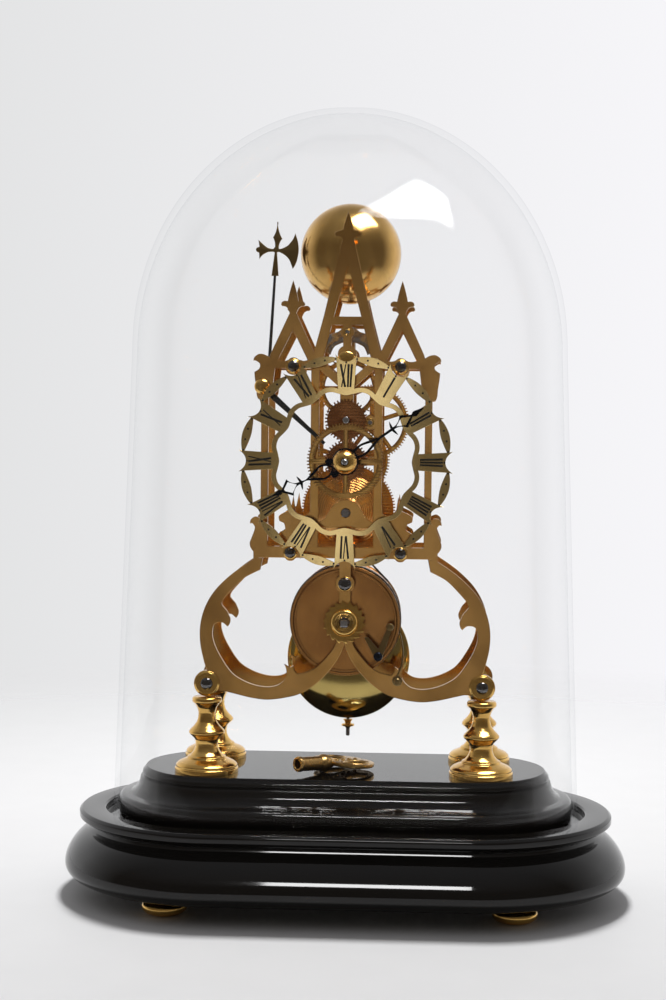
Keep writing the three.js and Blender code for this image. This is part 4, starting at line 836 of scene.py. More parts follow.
def build_plates():
    """The two fretted plates, their pillars, the screws and nuts on them and the dial's top boss."""
    front = refined("front_plate", PLATE_FRONT, PLATE_FRONT + PLATE_THICKNESS, 0.3)
    rear = front.copy()
    rear.transform(Matrix.Translation((0, REAR_FRONT - PLATE_FRONT, 0)))
    add("front_plate_fretted", front, brass_plate, "frame", ["front_plate"], 20)
    add("rear_plate_fretted", rear, brass_plate, "frame", ["rear_plate"], 20)
    levels = {  # place, collet, head and the CAD screw that the screw on the front stands for
        "upper": (CORNICE_SCREW, 4.7, 3.5, "cornice_screw"),
        "middle": (MIDDLE_PILLAR, 4.4, 3.5, None),
        "lower": (LUG, 8.0, 3.9, "lug_screw"),
    }
    for level, ((x, z), collet, head, node) in levels.items():
        for side, sign in SIDES.items():
            pillar = f"plate_pillar_{level}_{side}"
            add(f"{pillar}_turned", plate_pillar(sign * x, z), brass_bright, "frame", [pillar])
            stands_for = [f"{node}_{side}"] if node else []
            names = f"{level}_screw_collet_{side}", f"{level}_screw_{side}"
            add_screw(*names, (sign * x, z), collet, head, stands_for)
            nut = lathe([(3.4, 0), (3.4, 1.4), (2.6, 2.2), (0.05, 2.4)], sign * x, z, start=REAR_BACK + 0.05)
            add(f"{level}_pillar_nut_{side}", nut, screw_steel, "frame", ())
    add_screw("stem_screw_collet", "stem_screw", STEM_SCREW, 4.6, 4.1)
    boss = lathe([(5.8, 0), (5.8, -8.4), (5, -9)], *TOP_BOSS, start=PLATE_FRONT)
    add("dial_top_boss", boss, brass_bright, "frame", ())


def build_dial_and_hands():
    """The pierced chapter ring with its feet, the hands and their collet."""
    face = depths("dial")[0]
    back = face + 1.5
    ring = refined("dial", face, back, 0.12, 0.7)
    add("dial_pierced", ring, brass_pale, "frame", ["dial"], 20)
    add("dial_numerals", numerals(face), numeral_black, "frame")
    head = [(1.6, back - 0.2), (1.6, back + 1), (1.1, back + 1.4)]
    foot = [(1.1, PLATE_FRONT - 2), (1.9, PLATE_FRONT - 1.6), (1.9, PLATE_FRONT - 0.1)]
    spots = [moved([(0, 58)], hour, CENTRE)[0] for hour in (60, 120, 240, 300)]
    feet = [lathe(head + foot, *spot, segments=24) for spot in spots]
    add("dial_feet", merged(*feet), brass_bright, "frame", ())
    for hand, body in (("hour", "hour"), ("minute", "centre")):
        blade = refined(f"{hand}_hand", *depths(f"{hand}_hand"), 0.12, 0.5, math.radians(50))
        add(f"{hand}_hand_blued", blade, blue_steel, body, [f"{hand}_hand"], 30)
    low, high = depths("hand_collet")
    dome = [(2.5, 0), (4.2, 0.5), (5.9, 1.8), (6.9, 3.4), (7.4, 4.8)]
    bore = [(7.4, high - low), (2.3, high - low), (2.3, 1)]
    collet = lathe(dome + bore, *CENTRE, ease=0.7, closed=True, start=low)
    add("hand_collet_domed", collet, brass_bright, "centre", ["hand_collet"], 60)
    tip = lathe([(1.9, 2), (1.9, -0.3), (1.3, -0.9), (0.05, -1.1)], *CENTRE, start=low)
    add("minute_arbor_tip", tip, steel, "centre", ())


# ---------------------------------------------------------------- going train


def add_wheel(body, node, centre, outline, hole, material, windows=()):
    """A wheel of the train, between the faces of its CAD node."""
    mesh = wheel(centre, outline, depths(node), hole, windows)
    add(f"{node}_cut", mesh, material, body, [node], 30)


def add_arbor(body, centre, lengths, leaves):
    """An arbor of the train with its pinion, which is given as teeth, front and back."""
    outline, *depth = leaves
    mesh = merged(arbor(centre, lengths), extruded([outline], *depth, bevel=0.12))
    add(f"{body}_arbor_turned", mesh, steel, body, [f"{body}_arbor"])


def build_train():
    """Great, centre, third and escape wheels with their arbors."""
    great_module = module_of(FUSEE, CENTRE, 104)
    centre_module = module_of(CENTRE, THIRD, 88)
    third_module = module_of(THIRD, ESCAPE, 86)
    great = gear_loop(FUSEE, 96, great_module, bearing(FUSEE, CENTRE))
    add_wheel("fusee", "great_wheel", FUSEE, great, 5.2, fusee_brass)
    centre = gear_loop(CENTRE, 80, centre_module, bearing(CENTRE, THIRD))
    windows = crossing_loops(CENTRE, 5, 6, 21.6, 3.2)
    add_wheel("centre", "centre_wheel", CENTRE, centre, 2.5, brass_wheel, windows)
    third = gear_loop(THIRD, 78, third_module, bearing(THIRD, ESCAPE))
    windows = crossing_loops(THIRD, 5, 5.2, 19.8, 2.8)
    add_wheel("third", "third_wheel", THIRD, third, 2.0, brass_wheel, windows)
    raked = []
    for i in range(30):
        for radius, turn in ((17.9, -3.2), (19.6, 0.4), (21.4, 2.4), (21.4, 2.9), (19.4, 1.7), (18.0, 0.6)):
            raked += arc(*ESCAPE, radius, 12 * i + turn, 12 * i + turn, 1)[:1]
    windows = crossing_loops(ESCAPE, 4, 4.6, 15, 2.4)
    add_wheel("escape", "escape_wheel", ESCAPE, raked, 2.0, brass_wheel, windows)

    half = 22.5  # half the pitch of eight leaves, so that a gap meets the wheel's tooth
    leaves = gear_loop(CENTRE, 8, great_module, bearing(CENTRE, FUSEE) + half)
    lengths = [(1.9, -45.6, -22), (2.3, -22, 9), (1.7, 9.4, 17.6), (2.3, 17.9, 22.2), (1.3, 22.3, 27)]
    add_arbor("centre", CENTRE, lengths, (leaves, 11.5, 17.4))
    leaves = gear_loop(THIRD, 8, centre_module, bearing(THIRD, CENTRE) + half)
    add_arbor("third", THIRD, [(1.2, -27, -22), (1.8, -21.8, 22.2), (1.2, 22.3, 27)], (leaves, 17.2, 21.4))
    leaves = gear_loop(ESCAPE, 8, third_module, bearing(ESCAPE, THIRD) + half)
    add_arbor("escape", ESCAPE, [(1.1, -27, -22), (1.8, -21.8, 22.2), (1.1, 22.3, 27)], (leaves, 6, 10.6))
    for name, centre, radius in (("centre", CENTRE, 4.6), ("third", THIRD, 3.8), ("escape", ESCAPE, 3.4)):
        profile = [(2.4, -2.2), (radius - 0.8, -2.2), (radius, -0.6), (radius, -0.02), (2.4, -0.02)]
        face = depths(f"{name}_wheel")[0]
        seat = lathe(profile, *centre, closed=True, segments=40, start=face)
        add(f"{name}_wheel_collet", seat, brass_bright, name, ())


def build_motion_work():
    """The wheels behind the dial that drive the hour hand."""
    module = module_of(CENTRE, STUD, 72)
    hour_module = module_of(CENTRE, STUD, 78)
    depth = (-31.2, -30.0)
    disk = wheel(CENTRE, gear_loop(CENTRE, 36, module, bearing(CENTRE, STUD)), depth, 2.3)
    low = depths("cannon_wheel")[0]
    pipe = lathe([(2.2, low), (3.2, low), (3.2, -29), (2.2, -29)], *CENTRE, closed=True)
    pin = lathe([(0.8, -30.4), (0.8, -27.6)], CENTRE[0] - 7.4, CENTRE[1] - 7.4, segments=20)
    add("cannon_wheel_cut", merged(disk, pipe, pin), brass_red, "centre", ["cannon_wheel"], 30)
    phase = bearing(STUD, CENTRE)
    disk = wheel(STUD, gear_loop(STUD, 36, module, phase + 5), depth, 1.3)
    leaves = extruded([gear_loop(STUD, 6, hour_module, phase + 30), circle(*STUD, 1.1, 24)], -34, -31, 0.1)
    add("minute_wheel_cut", merged(disk, leaves), brass_red, "minute", ["minute_wheel"], 30)
    low, high = depths("minute_stud")
    tip = [(1.4, low), (2, low + 0.3), (2, low + 0.7), (0.8, low + 0.8)]
    stud = lathe([*tip, (0.8, -29.8), (2.4, -29.6), (2.4, high)], *STUD, ease=0.1)
    add("minute_stud_turned", stud, steel, "frame", ["minute_stud"])
    low, high = depths("hour_wheel")
    teeth = gear_loop(CENTRE, 72, hour_module, bearing(CENTRE, STUD))
    disk = wheel(CENTRE, teeth, (high - 1.2, high), 3.6, crossing_loops(CENTRE, 4, 7, 19.4, 3))
    pipe = lathe([(3.6, low), (4.8, low), (4.8, high - 0.4), (3.6, high - 0.4)], *CENTRE, closed=True)
    add("hour_wheel_cut", merged(disk, pipe), brass_wheel, "hour", ["hour_wheel"], 30)


# ---------------------------------------------------------------- barrel, fusee and chain


def build_barrel():
    """The barrel with its cover, mainspring and squared arbor."""
    low, high = depths("barrel_drum")
    outside = [(34.3, low), (34.3, low + 2.2), (33.5, low + 2.8), (33.5, high - 2.4), (34.3, high - 2)]
    bottom = [(34.3, high), (5, high), (5, high - 2.4)]
    inside = [(31.2, high - 2.4), (31.2, low + 2.3), (32.4, low + 2.2), (32.4, low)]
    drum = lathe(outside + bottom + inside, *BARREL, closed=True, segments=128)
    add("barrel_drum_turned", drum, barrel_brass, "barrel", ["barrel_drum"], 30)
    low, high = depths("barrel_cover")
    face = [(5, low), (9, low), (9.2, low + 0.3), (30.6, low + 0.3), (30.9, low), (32.1, low)]
    cover = lathe([*face, (32.1, high), (5, high)], *BARREL, closed=True, ease=0.12, segments=128)
    add("barrel_cover_turned", cover, barrel_brass, "barrel", ["barrel_cover"], 30)
    coils, steps = 4.5, 270
    edges = []
    for offset in (0.35, -0.35):
        shares = [i / steps for i in range(steps + 1)]
        radii = [(9 + 21 * share + offset, 2 * math.pi * coils * share) for share in shares]
        edges.append([(BARREL[0] + r * math.cos(a), BARREL[1] + r * math.sin(a)) for r, a in radii])
    coil = extruded([edges[0] + edges[1][::-1]], *depths("mainspring"), 0.1)
    add("mainspring_coiled", coil, spring_steel, "barrel", ["mainspring"])
    shaft = arbor(BARREL, [(2.4, -33, -27), (3, -27, -23), (4.5, -22.6, 22.4), (3, 22.6, 27.5)])
    low = depths("barrel_arbor")[0]
    square = block((-2.2, low, BARREL[1] - 2.2), (2.2, -31, BARREL[1] + 2.2), 0.35)
    add("barrel_arbor_squared", merged(shaft, square), steel, "frame", ["barrel_arbor"])


def build_set_up_work():
    """The ratchet, click and spring that hold the mainspring's first turns."""
    face = -29.4  # the flat front of the ratchet and of the click
    knob_place, spring_screw = (28.1, 171.8), (33, 138.4)
    low, high = depths("setup_ratchet")
    teeth = max(outlines("setup_ratchet", face), key=lambda loop: max(math.dist(p, BARREL) for p in loop))
    ratchet = extruded([teeth, circle(*BARREL, 3.3, 32)], face, high, 0.15)
    inner = [(3.3, face), (3.3, low + 1.6), (5.2, low + 1.2), (5.5, low + 0.3), (6.3, low)]
    outer = [(7.4, low + 0.4), (8.1, low + 1.3), (8.5, low + 2.4), (8.5, face)]
    boss = lathe(inner + outer, *BARREL, ease=0.4, closed=True, segments=96)
    add("setup_ratchet_cut", merged(ratchet, boss), brass_bright, "frame", ["setup_ratchet"], 40)
    low, high = depths("ratchet_click")
    knob = lathe([(2.4, 2.6), (2.4, 0.6), (2.0, 0), (0.05, -0.2)], *knob_place, ease=0.3, start=low)
    click = extruded([flowing(loop, 0.5) for loop in outlines("ratchet_click", face)], face, high, 0.25)
    add("ratchet_click_filed", merged(click, knob), bronze, "click", ["ratchet_click"])
    low, high = depths("click_screw")
    domed = [(2.8, 1.8), (2.8, 0.8), (1.9, 0.2), (0.05, 0)]
    head = lathe([(1.2, high - low), (1.2, 1.9), *domed], *CLICK, start=low)
    add("click_screw_domed", head, blue_steel, "frame", ["click_screw"])
    low, high = depths("click_spring")
    spring = extruded([flowing(loop, 0.5) for loop in outlines("click_spring", low)], low, high - 0.3, 0.2)
    head = lathe([(2, 0), (2, -0.7), (1.3, -1.3), (0.05, -1.4)], *spring_screw, start=low)
    add("click_spring_bent", merged(spring, head), bronze, "frame", ["click_spring"])


def fusee_ring(y, radius, groove=0.0, phase=0.0):
    """A ring of the fusee, cut to a groove's depth where its phase points."""
    ring = []
    for angle in full_turn(72):
        r = radius - groove * (0.45 + 0.45 * math.cos(phase - angle))
        ring.append((FUSEE[0] + r * math.cos(angle), y, FUSEE[1] + r * math.sin(angle)))
    return ring


def fusee_surface():
    """The fusee: a trumpet cone with a spiral groove for the chain and a rounded cap at its small end."""
    low, high = depths("fusee_cone")
    coils, slices, groove_depth = 10, 260, 1.1
    rings = [fusee_ring(low + y, r) for r, y in ((5.2, 0), (7.4, 0), (8.4, 0.4), (8.6, 1.2))]
    for i in range(slices + 1):
        share = i / slices
        y = low + 1.4 + (high - low - 2.4) * share
        groove = groove_depth * min(1, 14 * share, 14 * (1 - share))
        rings.append(fusee_ring(y, 8.8 + 13.0 * share**1.25, groove, 2 * math.pi * coils * share))
    rings += [fusee_ring(high + y, r) for r, y in ((22.2, -0.8), (22.2, -0.1), (21.8, 0), (5.2, 0))]
    return loft(rings, closed=True)


def build_fusee_and_chain():
    """The fusee on its squared arbor, and the chain from it to its coils on the barrel."""
    add("fusee_cone_grooved", fusee_surface(), fusee_brass, "fusee", ["fusee_cone"], 60)
    shaft = arbor(FUSEE, [(2.6, -28, -21.5), (4.9, -21.2, 17.6), (2.6, 17.9, 27.4)])
    low = depths("fusee_arbor")[0]
    square = block((-2.1, low, FUSEE[1] - 2.1), (2.1, -27, FUSEE[1] + 2.1), 0.35)
    add("fusee_arbor_squared", merged(shaft, square), steel, "fusee", ["fusee_arbor"])
    fusee_radius, barrel_radius = 11.0, 35.6
    lean = math.asin((fusee_radius + barrel_radius) / (FUSEE[1] - BARREL[1]))
    out = Vector((math.cos(lean), 0, math.sin(lean)))
    start = Vector((FUSEE[0], -13.4, FUSEE[1])) - out * fusee_radius
    end = Vector((BARREL[0], -8.0, BARREL[1])) + out * barrel_radius
    count = round((end - start).length / LINK)
    free = [(start.lerp(end, i / count), out) for i in range(count + 1)]
    add("fusee_chain_linked", chain(free), spring_steel, "frame", ["fusee_chain"])
    drum_coil = coil_path(BARREL, 34.3, -3.0, math.degrees(lean) - 3, -8.4, -15.6)
    add("barrel_chain_coils", chain(drum_coil), spring_steel, "barrel", ())


# ---------------------------------------------------------------- escapement and pendulum

PENDULUM_Y = 36.0


def build_anchor():
    """The anchor on its arbor with the crutch, and the cock that the pendulum hangs from."""
    low = -4.0
    anchor = extruded([flowing(loop, 0.5) for loop in outlines("pallet_anchor", low)], low, 0.4, 0.3)
    shaft = arbor(PALLET, [(1.1, -27, -22), (1.8, -21.8, 28.6), (1.2, 28.8, 32)])
    crutch = extruded([bar((0, PALLET[1] + 3), (0, 296), 3.4, 2.0)], 29.2, 30.8, 0.3)
    prongs = [block((x - 0.6, 29.4, 295.5), (x + 0.6, 40, 299), 0.2) for x in (-1.9, 1.9)]
    bridge = block((-2.5, 29.2, 295.5), (2.5, 30.8, 299), 0.2)
    mesh = merged(anchor, shaft, crutch, bridge, *prongs)
    add("pallet_anchor_polished", mesh, steel, "pallets", ["pallet_anchor"])
    low, high = span("suspension_cock")
    back = block((low.x, low.y, low.z), (high.x, 29.2, high.z), 0.4)
    arm = block((-4, 28, low.z), (4, high.y, high.z), 0.5)
    add("suspension_cock_filed", merged(back, arm), brass_bright, "frame", ["suspension_cock"])
    for side, sign in SIDES.items():
        cap = lathe([(2, 29.2), (2, 30), (1.5, 30.7), (0.05, 31)], 8 * sign, (low.z + high.z) / 2)
        add(f"cock_screw_{side}", cap, screw_steel, "frame", ())


def build_pendulum():
    """The rod on its spring, the lens-shaped bob and the nut that sets its height."""
    y = PENDULUM_Y
    bob_low, bob_high = span("pendulum_bob")
    bob_z = (bob_low.z + bob_high.z) / 2
    bob_r = (bob_high.z - bob_low.z) / 2
    spring = block((-2.6, y - 0.25, 340), (2.6, y + 0.25, 357.2), 0.08)
    clasp = block((-3.6, y - 1.6, 334), (3.6, y + 1.6, 343), 0.4)
    rod = lathe([(1.0, bob_z + bob_r - 2), (1.0, 336)], 0, y, "Z")
    ridges = [point for i in range(26) for point in ((1.25, 93.4 + 0.4 * i), (1.5, 93.6 + 0.4 * i))]
    thread = lathe([(0.9, 93), *ridges, (1.4, 104.2)], 0, y, "Z", 32, 0.05)
    core = block((-0.9, y - 0.9, 100), (0.9, y + 0.9, bob_z + bob_r + 2), 0.1)
    mesh = merged(spring, clasp, rod, thread, core)
    add("pendulum_rod_drawn", mesh, steel, "pendulum", ["pendulum_rod"])
    slopes = [math.radians(-90 + 2.4 * i) for i in range(34)]
    side = [(max(1 + 38.4 * math.cos(slope) ** 0.94, 0.1), 7 * math.sin(slope)) for slope in slopes]
    rim = [(bob_r - 0.2, -1.1), (bob_r, -0.6), (bob_r, 0.6), (bob_r - 0.2, 1.1)]
    back = [(r, -depth) for r, depth in side[::-1]]
    lens = lathe(side + rim + back, 0, bob_z, ease=0.3, segments=128, start=y)
    add("pendulum_bob_polished", lens, brass_bob, "pendulum", ["pendulum_bob"], 50)
    low, high = (corner.z for corner in span("rating_nut"))
    disk = [(1.8, 0), (2.4, 0.8), (4.1, 1.1), (4.2, 1.7), (4.1, 2.3), (2, 2.7)]
    neck = [(2.2, 4), (3, 5), (3, high - low), (1.7, high - low), (1.7, 0)]
    nut = lathe(disk + neck, 0, y, "Z", closed=True, start=low)
    add("rating_nut_milled", nut, brass_bright, "nut", ["rating_nut"])


# ---------------------------------------------------------------- bell and hammer


def build_bell():
    """The bell on its stud."""
    low, high = span("bell")
    centre_z = (low.z + high.z) / 2
    radius = (high.z - low.z) / 2
    depth = high.y - low.y
    angles = [math.radians(a) for a in range(4, 91, 3)]
    outside = [(radius * math.sin(a), -depth * math.cos(a)) for a in angles]
    inside = [((radius - 2) * math.sin(a), (2 - depth) * math.cos(a)) for a in angles]
    skin = [*outside, (radius + 0.05, -1.2), (radius - 0.4, 0), *inside[::-1]]
    mesh = lathe(skin, 0, centre_z, ease=0.3, closed=True, segments=128, start=high.y)
    add("bell_turned", mesh, bell_brass, "frame", ["bell"], 60)
    low, high = depths("bell_stand")
    head = [(1.4, 0), (2.6, 0.6), (2.9, 3.2), (1.6, 3.3), (1.6, 6), (3, 6.4), (3, 9.6), (2.2, 10)]
    foot = [(2.2, high - low - 2.8), (3.4, high - low - 2.4), (3.4, high - low)]
    stand = lathe(head + foot, 0, centre_z, start=low)
    add("bell_stand_turned", stand, brass_bright, "frame", ["bell_stand"])


def hammer_rod(low, high, slices=12):
    """The hammer's slender rod, tapering upwards."""
    along = (high - low).normalized()
    side = Vector((along.z, 0, -along.x))
    rings = []
    for i in range(slices + 1):
        share = i / slices
        place = low.lerp(high, share)
        r = 1.15 - 0.3 * share
        round_it = [side * r * math.cos(t) + Vector((0, r * math.sin(t), 0)) for t in full_turn(20)]
        rings.append([place + offset for offset in round_it])
    return loft(rings)


def build_hammer():
    """The hammer on its arbor, with the halberd that strikes the bell and the tail that is lifted."""
    head_low, head_high = span("halberd_head")
    rod_y = 9
    shaft = arbor(HAMMER, [(1.9, -27.1, -21.6), (2.5, -21.4, 22), (1.3, 22.2, 26)])
    rod = hammer_rod(Vector((HAMMER[0], rod_y, HAMMER[1])), Vector((-47.9, rod_y, head_low.z + 0.6)))
    hub = lathe([(3.6, rod_y - 2.5), (3.6, rod_y + 2.5)], *HAMMER, ease=0.4)
    tail = extruded([bar(HAMMER, (-13.4, 284.6), 4.4, 2)], -29.2, -27.7, 0.3)
    mesh = merged(shaft, rod, hub, tail)
    add("hammer_lever_blued", mesh, lever_steel, "hammer", ["hammer_lever"])
    domed = [(5, -27.2), (5, -28.4), (4.6, -29.8), (3.4, -30.8), (1.6, -31.3), (0.05, -31.4)]
    cap = lathe(domed, *HAMMER, ease=0.4)
    add("hammer_arbor_cap", cap, brass_bright, "hammer", ())
    halberd = refined("halberd_head", head_low.y, head_high.y, 0.35, 0.5)
    add("halberd_head_filed", halberd, bronze, "hammer", ["halberd_head"], 30)


# ---------------------------------------------------------------- winding key

KEY_HALF = 28.0
KEY_PLACE = (-7.4, -16.7)
KEY_TURNED, KEY_TIPPED = 43, 4.0


def key_bow():
    """The bow's outline with its two eyes, and rims round the eyes and beads cast on both faces."""
    right = bezier((2.6, -4), (8, -3), (21, -4), (22, 8))
    right += bezier((22, 8), (22.6, 18), (11, KEY_HALF + 1), (0, KEY_HALF - 3))
    left = [Vector((-p.x, p.y)) for p in right[::-1]]
    angles = full_turn(36)
    eyes = [[(side * 11.4 + 5.2 * math.cos(t), 10.4 + 6.8 * math.sin(t)) for t in angles] for side in (-1, 1)]
    parts = [extruded([right + [Vector((0, KEY_HALF - 3))] + left, *eyes], -1.2, 1.2, 0.5)]
    for side in (-1, 1):
        rim = []
        for turn in angles:
            middle = Vector((side * 11.4 + 7.0 * math.cos(turn), 0, 10.4 + 8.6 * math.sin(turn)))
            out = Vector((math.cos(turn), 0, math.sin(turn)))
            steps = [out * 0.9 * math.cos(t) + Vector((0, 1.7 * math.sin(t), 0)) for t in angles[::3]]
            rim.append([middle + step for step in steps])
        parts.append(loft(rim, closed=True))
    bead = [(0.05, -2.3), (1.2, -1.9), (1.6, -1.0), (1.6, 1.0), (1.2, 1.9), (0.05, 2.3)]
    parts += [lathe(bead, 0, -1 + 5 * i, ease=0.3, segments=18) for i in range(5)]
    return merged(*parts)


def build_key():
    """The winding key: a bored pipe, turned collars and a cast, pierced bow, tipped on to the platform."""
    mouth = [(2.9, 12), (2.9, 0), (4.4, 0), (4.8, 0.5), (4.8, 2.2), (4.4, 2.8), (4.4, 17.6)]
    collars = [(4.8, 18.2), (5.5, 19.8), (5.5, 22), (3.8, 23), (4.2, 24.6), (2.8, 28), (0.3, 28.2), (0.3, 12)]
    pipe = lathe(mouth + collars, 0, 0, ease=0.3, closed=True, start=-KEY_HALF)
    bow = key_bow()
    bow.transform(Matrix.Rotation(-math.pi / 2, 4, "X"))
    key = merged(pipe, bow)
    turned = Matrix.Rotation(math.radians(KEY_TURNED - 90), 4, "Z")
    key.transform(turned @ Matrix.Rotation(math.radians(-KEY_TIPPED), 4, "X"))
    low = span("winding_key")[0].z - min(vertex.co.z for vertex in key.vertices)
    key.transform(Matrix.Translation((*KEY_PLACE, low)))
    add("winding_key_cast", key, brass_cast, "key", ["winding_key"])


def build_pivots():
    """Turned bushes where the arbors come through the plates."""
    seats = {"third": (THIRD, 2.6, 1.4), "escape": (ESCAPE, 2.4, 1.3), "pallet": (PALLET, 2.4, 1.3)}
    for name, (centre, outer, inner) in seats.items():
        for place, face, out in (("front", PLATE_FRONT, -0.3), ("rear", REAR_BACK, 0.3)):
            profile = [(inner, 0.01), (outer, 0.01), (outer, out), (inner + 0.5, out)]
            bush = lathe(profile, *centre, ease=0.08, closed=True, segments=32, start=face)
            add(f"{name}_bush_{place}", bush, brass_bright, "frame", ())


build_base()
build_plates()
build_dial_and_hands()
build_train()
build_motion_work()
build_barrel()
build_set_up_work()
build_fusee_and_chain()
build_anchor()
build_pendulum()
build_bell()
build_hammer()
build_key()
build_pivots()


# ---------------------------------------------------------------- studio


def studio_floor():
    """A pale round floor that fades into the background and ends a little in front of the clock."""
    steps, radius = 64, 2.6
    mesh = bpy.data.meshes.new("studio_floor")
    rim = [(x, y, 0) for x, y in circle(0, 0, radius, steps)]
    mesh.from_pydata([(0, 0, 0), *rim], [], [(0, i + 1, (i + 1) % steps + 1) for i in range(steps)])
    material, tree, surface = new_material("studio_paper")
    mottle = noise(tree, 30.0, 3.0)
    shade = mixed(tree, mottle, (0.62, 0.62, 0.625, 1.0), (0.65, 0.65, 0.655, 1.0))
    tree.links.new(shade, surface.inputs["Base Color"])
    surface.inputs["Roughness"].default_value = 0.6
    surface.inputs["Specular IOR Level"].default_value = 0.2
    place = add_node(tree, "ShaderNodeTexCoord").outputs["Object"]
    away = ranged(tree, vector_step(tree, "LENGTH", place, output="Value"), 0.35, 1.1, 0.0, 1.0)
    depth = add_node(tree, "ShaderNodeSeparateXYZ", {0: place}).outputs["Y"]
    fade = calculated(tree, "MAXIMUM", away, ranged(tree, depth, -0.36, -0.42, 0.0, 1.0))
    clear = add_node(tree, "ShaderNodeBsdfTransparent").outputs[0]
    mix = add_node(tree, "ShaderNodeMixShader", {0: fade, 1: surface.outputs[0], 2: clear}).outputs[0]
    tree.links.new(mix, tree.nodes["Material Output"].inputs["Surface"])
    mesh.materials.append(material)
    floor = bpy.data.objects.new("studio_floor", mesh)
    bpy.context.scene.collection.objects.link(floor)


def studio_world():
    """White backdrop behind and beside the clock, a dim room in front of it. The backdrop that the camera
    sees carries painted shading: darker to the left, lighter to the right.
    """
    world = bpy.data.worlds.new("studio")
    bpy.context.scene.world = world
    world.use_nodes = True
    tree = world.node_tree
    tree.nodes.clear()
    way = add_node(tree, "ShaderNodeNewGeometry").outputs["Incoming"]
    parts = add_node(tree, "ShaderNodeSeparateXYZ", {0: way})
    behind = ranged(tree, parts.outputs["Y"], 0.25, -0.45, 0.0, 1.0)
    room = mixed(tree, behind, (0.13, 0.115, 0.10, 1.0), (0.95, 0.95, 0.96, 1.0))
    above = ranged(tree, parts.outputs["Z"], -0.35, -0.95, 0.0, 1.0)
    lit = mixed(tree, above, room, (0.30, 0.30, 0.31, 1.0))
    window = add_node(tree, "ShaderNodeTexCoord").outputs["Window"]
    across = add_node(tree, "ShaderNodeSeparateXYZ", {0: window}).outputs["X"]
    # Painted shading on the backdrop that camera rays see: darker towards the left of the view, lighter
    # towards the right.
    backdrop_painted_shading = mixed(tree, across, (0.775, 0.778, 0.785, 1.0), (0.925, 0.92, 0.945, 1.0))
    seen = add_node(tree, "ShaderNodeLightPath").outputs["Is Camera Ray"]
    colour = mixed(tree, seen, lit, backdrop_painted_shading)
    back = add_node(tree, "ShaderNodeBackground", {"Color": colour, "Strength": 1.0}).outputs[0]
    add_node(tree, "ShaderNodeOutputWorld", {"Surface": back})


def flagged(name, pieces, state):
    """A collection of pieces that a light is told to reach, or to leave out."""
    chosen = bpy.data.collections.new(name)
    for piece in pieces:
        chosen.objects.link(bpy.data.objects[piece])
    for linked in chosen.collection_objects:
        linked.light_linking.link_state = state
    return chosen


def softbox(name, place, target, width, height, watts, roll=0.0, lights=(), spares=(), shades=()):
    """A soft rectangular light aimed at a point, in metres.

    It can be flagged to light only some pieces, to spare some, or to take its shadows from only some.
    """
    light = bpy.data.lights.new(name, "AREA")
    light.shape = "RECTANGLE"
    light.size, light.size_y = width, height
    light.energy = watts
    lamp = bpy.data.objects.new(name, light)
    lamp.location = place
    lamp.rotation_mode = "QUATERNION"
    aim = (Vector(target) - Vector(place)).to_track_quat("-Z", "Y")
    lamp.rotation_quaternion = aim @ Matrix.Rotation(math.radians(roll), 3, "Z").to_quaternion()
    bpy.context.scene.collection.objects.link(lamp)
    if lights or spares:
        state = "EXCLUDE" if spares else "INCLUDE"
        lamp.light_linking.receiver_collection = flagged(name, lights or spares, state)
    if shades:
        lamp.light_linking.blocker_collection = flagged(f"{name}_shades", shades, "INCLUDE")
    return lamp


def studio_camera():
    """The viewpoint: a little right of the middle, looking slightly left and down."""
    camera = bpy.data.cameras.new("camera")
    camera.lens = 66.6
    camera.clip_start = 0.05
    view = bpy.data.objects.new("camera", camera)
    yaw, pitch, roll = math.radians(3.0), math.radians(-2.57), math.radians(0.55)
    forward = Vector((-math.sin(yaw) * math.cos(pitch), math.cos(yaw) * math.cos(pitch), math.sin(pitch)))
    tilt = Matrix.Rotation(roll, 3, "Z").to_quaternion()
    view.rotation_mode = "QUATERNION"
    view.rotation_quaternion = forward.to_track_quat("-Z", "Y") @ tilt
    view.location = (0.0518, -1.165, 0.301)
    bpy.context.scene.collection.objects.link(view)
    bpy.context.scene.camera = view


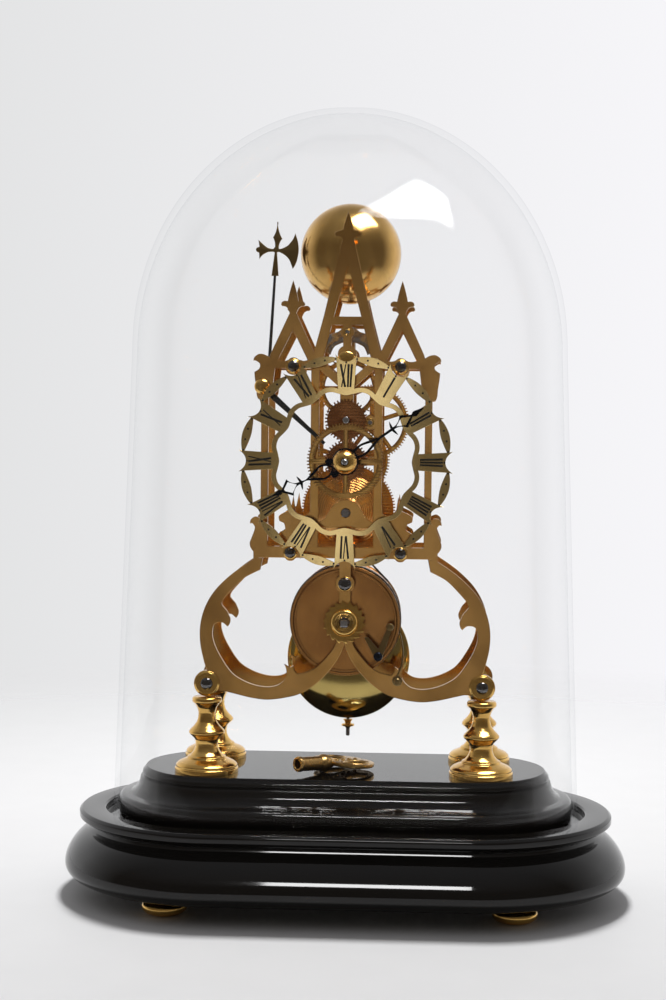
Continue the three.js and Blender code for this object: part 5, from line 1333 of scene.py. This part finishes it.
BASE_PIECES = ("base_moulding_polished", "platform_step_polished")
FEET = tuple(f"bun_foot_{corner}_turned" for corner in CORNERS)
FLAT_METALS = (brass_plate, brass_wheel, brass_red, barrel_brass, fusee_brass)


def of_metals(metals):
    """Names of the pieces made of any of some metals."""
    pieces = [piece for piece in bpy.data.objects if piece.type == "MESH"]
    return tuple(piece.name for piece in pieces if any(used in metals for used in piece.data.materials))


def studio_lights():
    """The lights, which are placed and sized in metres.

    The dome, the base, the dial, the flat brass and the floor have lights of their own, so that the
    highlights lie where they do in the picture.
    """
    spared = ("glass_dome_clear", "studio_floor", *BASE_PIECES)
    softbox("top_softbox", (0.36, -0.22, 1.45), (0.0, 0.0, 0.30), 0.90, 0.60, 20.0, spares=spared)
    dome, dial, floor = ("glass_dome_clear",), ("dial_pierced",), ("studio_floor",)
    softbox("dome_softbox", (0.25, -1.36, 1.12), (0.025, -0.06, 0.43), 0.48, 0.68, 40.0, -16, dome)
    softbox("base_strip", (-0.023, -1.5, 1.0), (-0.023, -0.1, 0.03), 0.375, 0.26, 8.5, 0, BASE_PIECES)
    softbox("base_overhead", (-0.015, 0.18, 1.4), (-0.015, -0.09, 0.04), 0.33, 0.24, 3.4, 0, BASE_PIECES)
    softbox("dial_strip", (-0.076, -1.75, 0.237), (0.0, 0.0, 0.27), 0.113, 0.36, 0.10, -14, dial)
    flat_work = of_metals(FLAT_METALS)
    softbox("plate_softbox", (-0.06, -2.0, 0.12), (0.0, 0.0, 0.27), 0.5, 0.7, 0.34, 0, flat_work)
    place, target = (0.0, 0.6, 1.5), (0.0, -0.1, 0.0)
    unseen = [softbox("back_softbox", place, target, 0.3, 0.3, 29.0, 0, floor, (), BASE_PIECES + FEET)]
    for side in (-1, 1):
        place = (1.6 * side, -0.5, 0.7)
        unseen.append(softbox("side_softbox", place, (0.0, 0.0, 0.25), 0.7, 1.1, 7.0, spares=floor))
    for lamp in unseen:
        lamp.visible_glossy = False


studio_floor()
studio_world()
studio_lights()
studio_camera()
bpy.context.scene.view_settings.view_transform = "Standard"
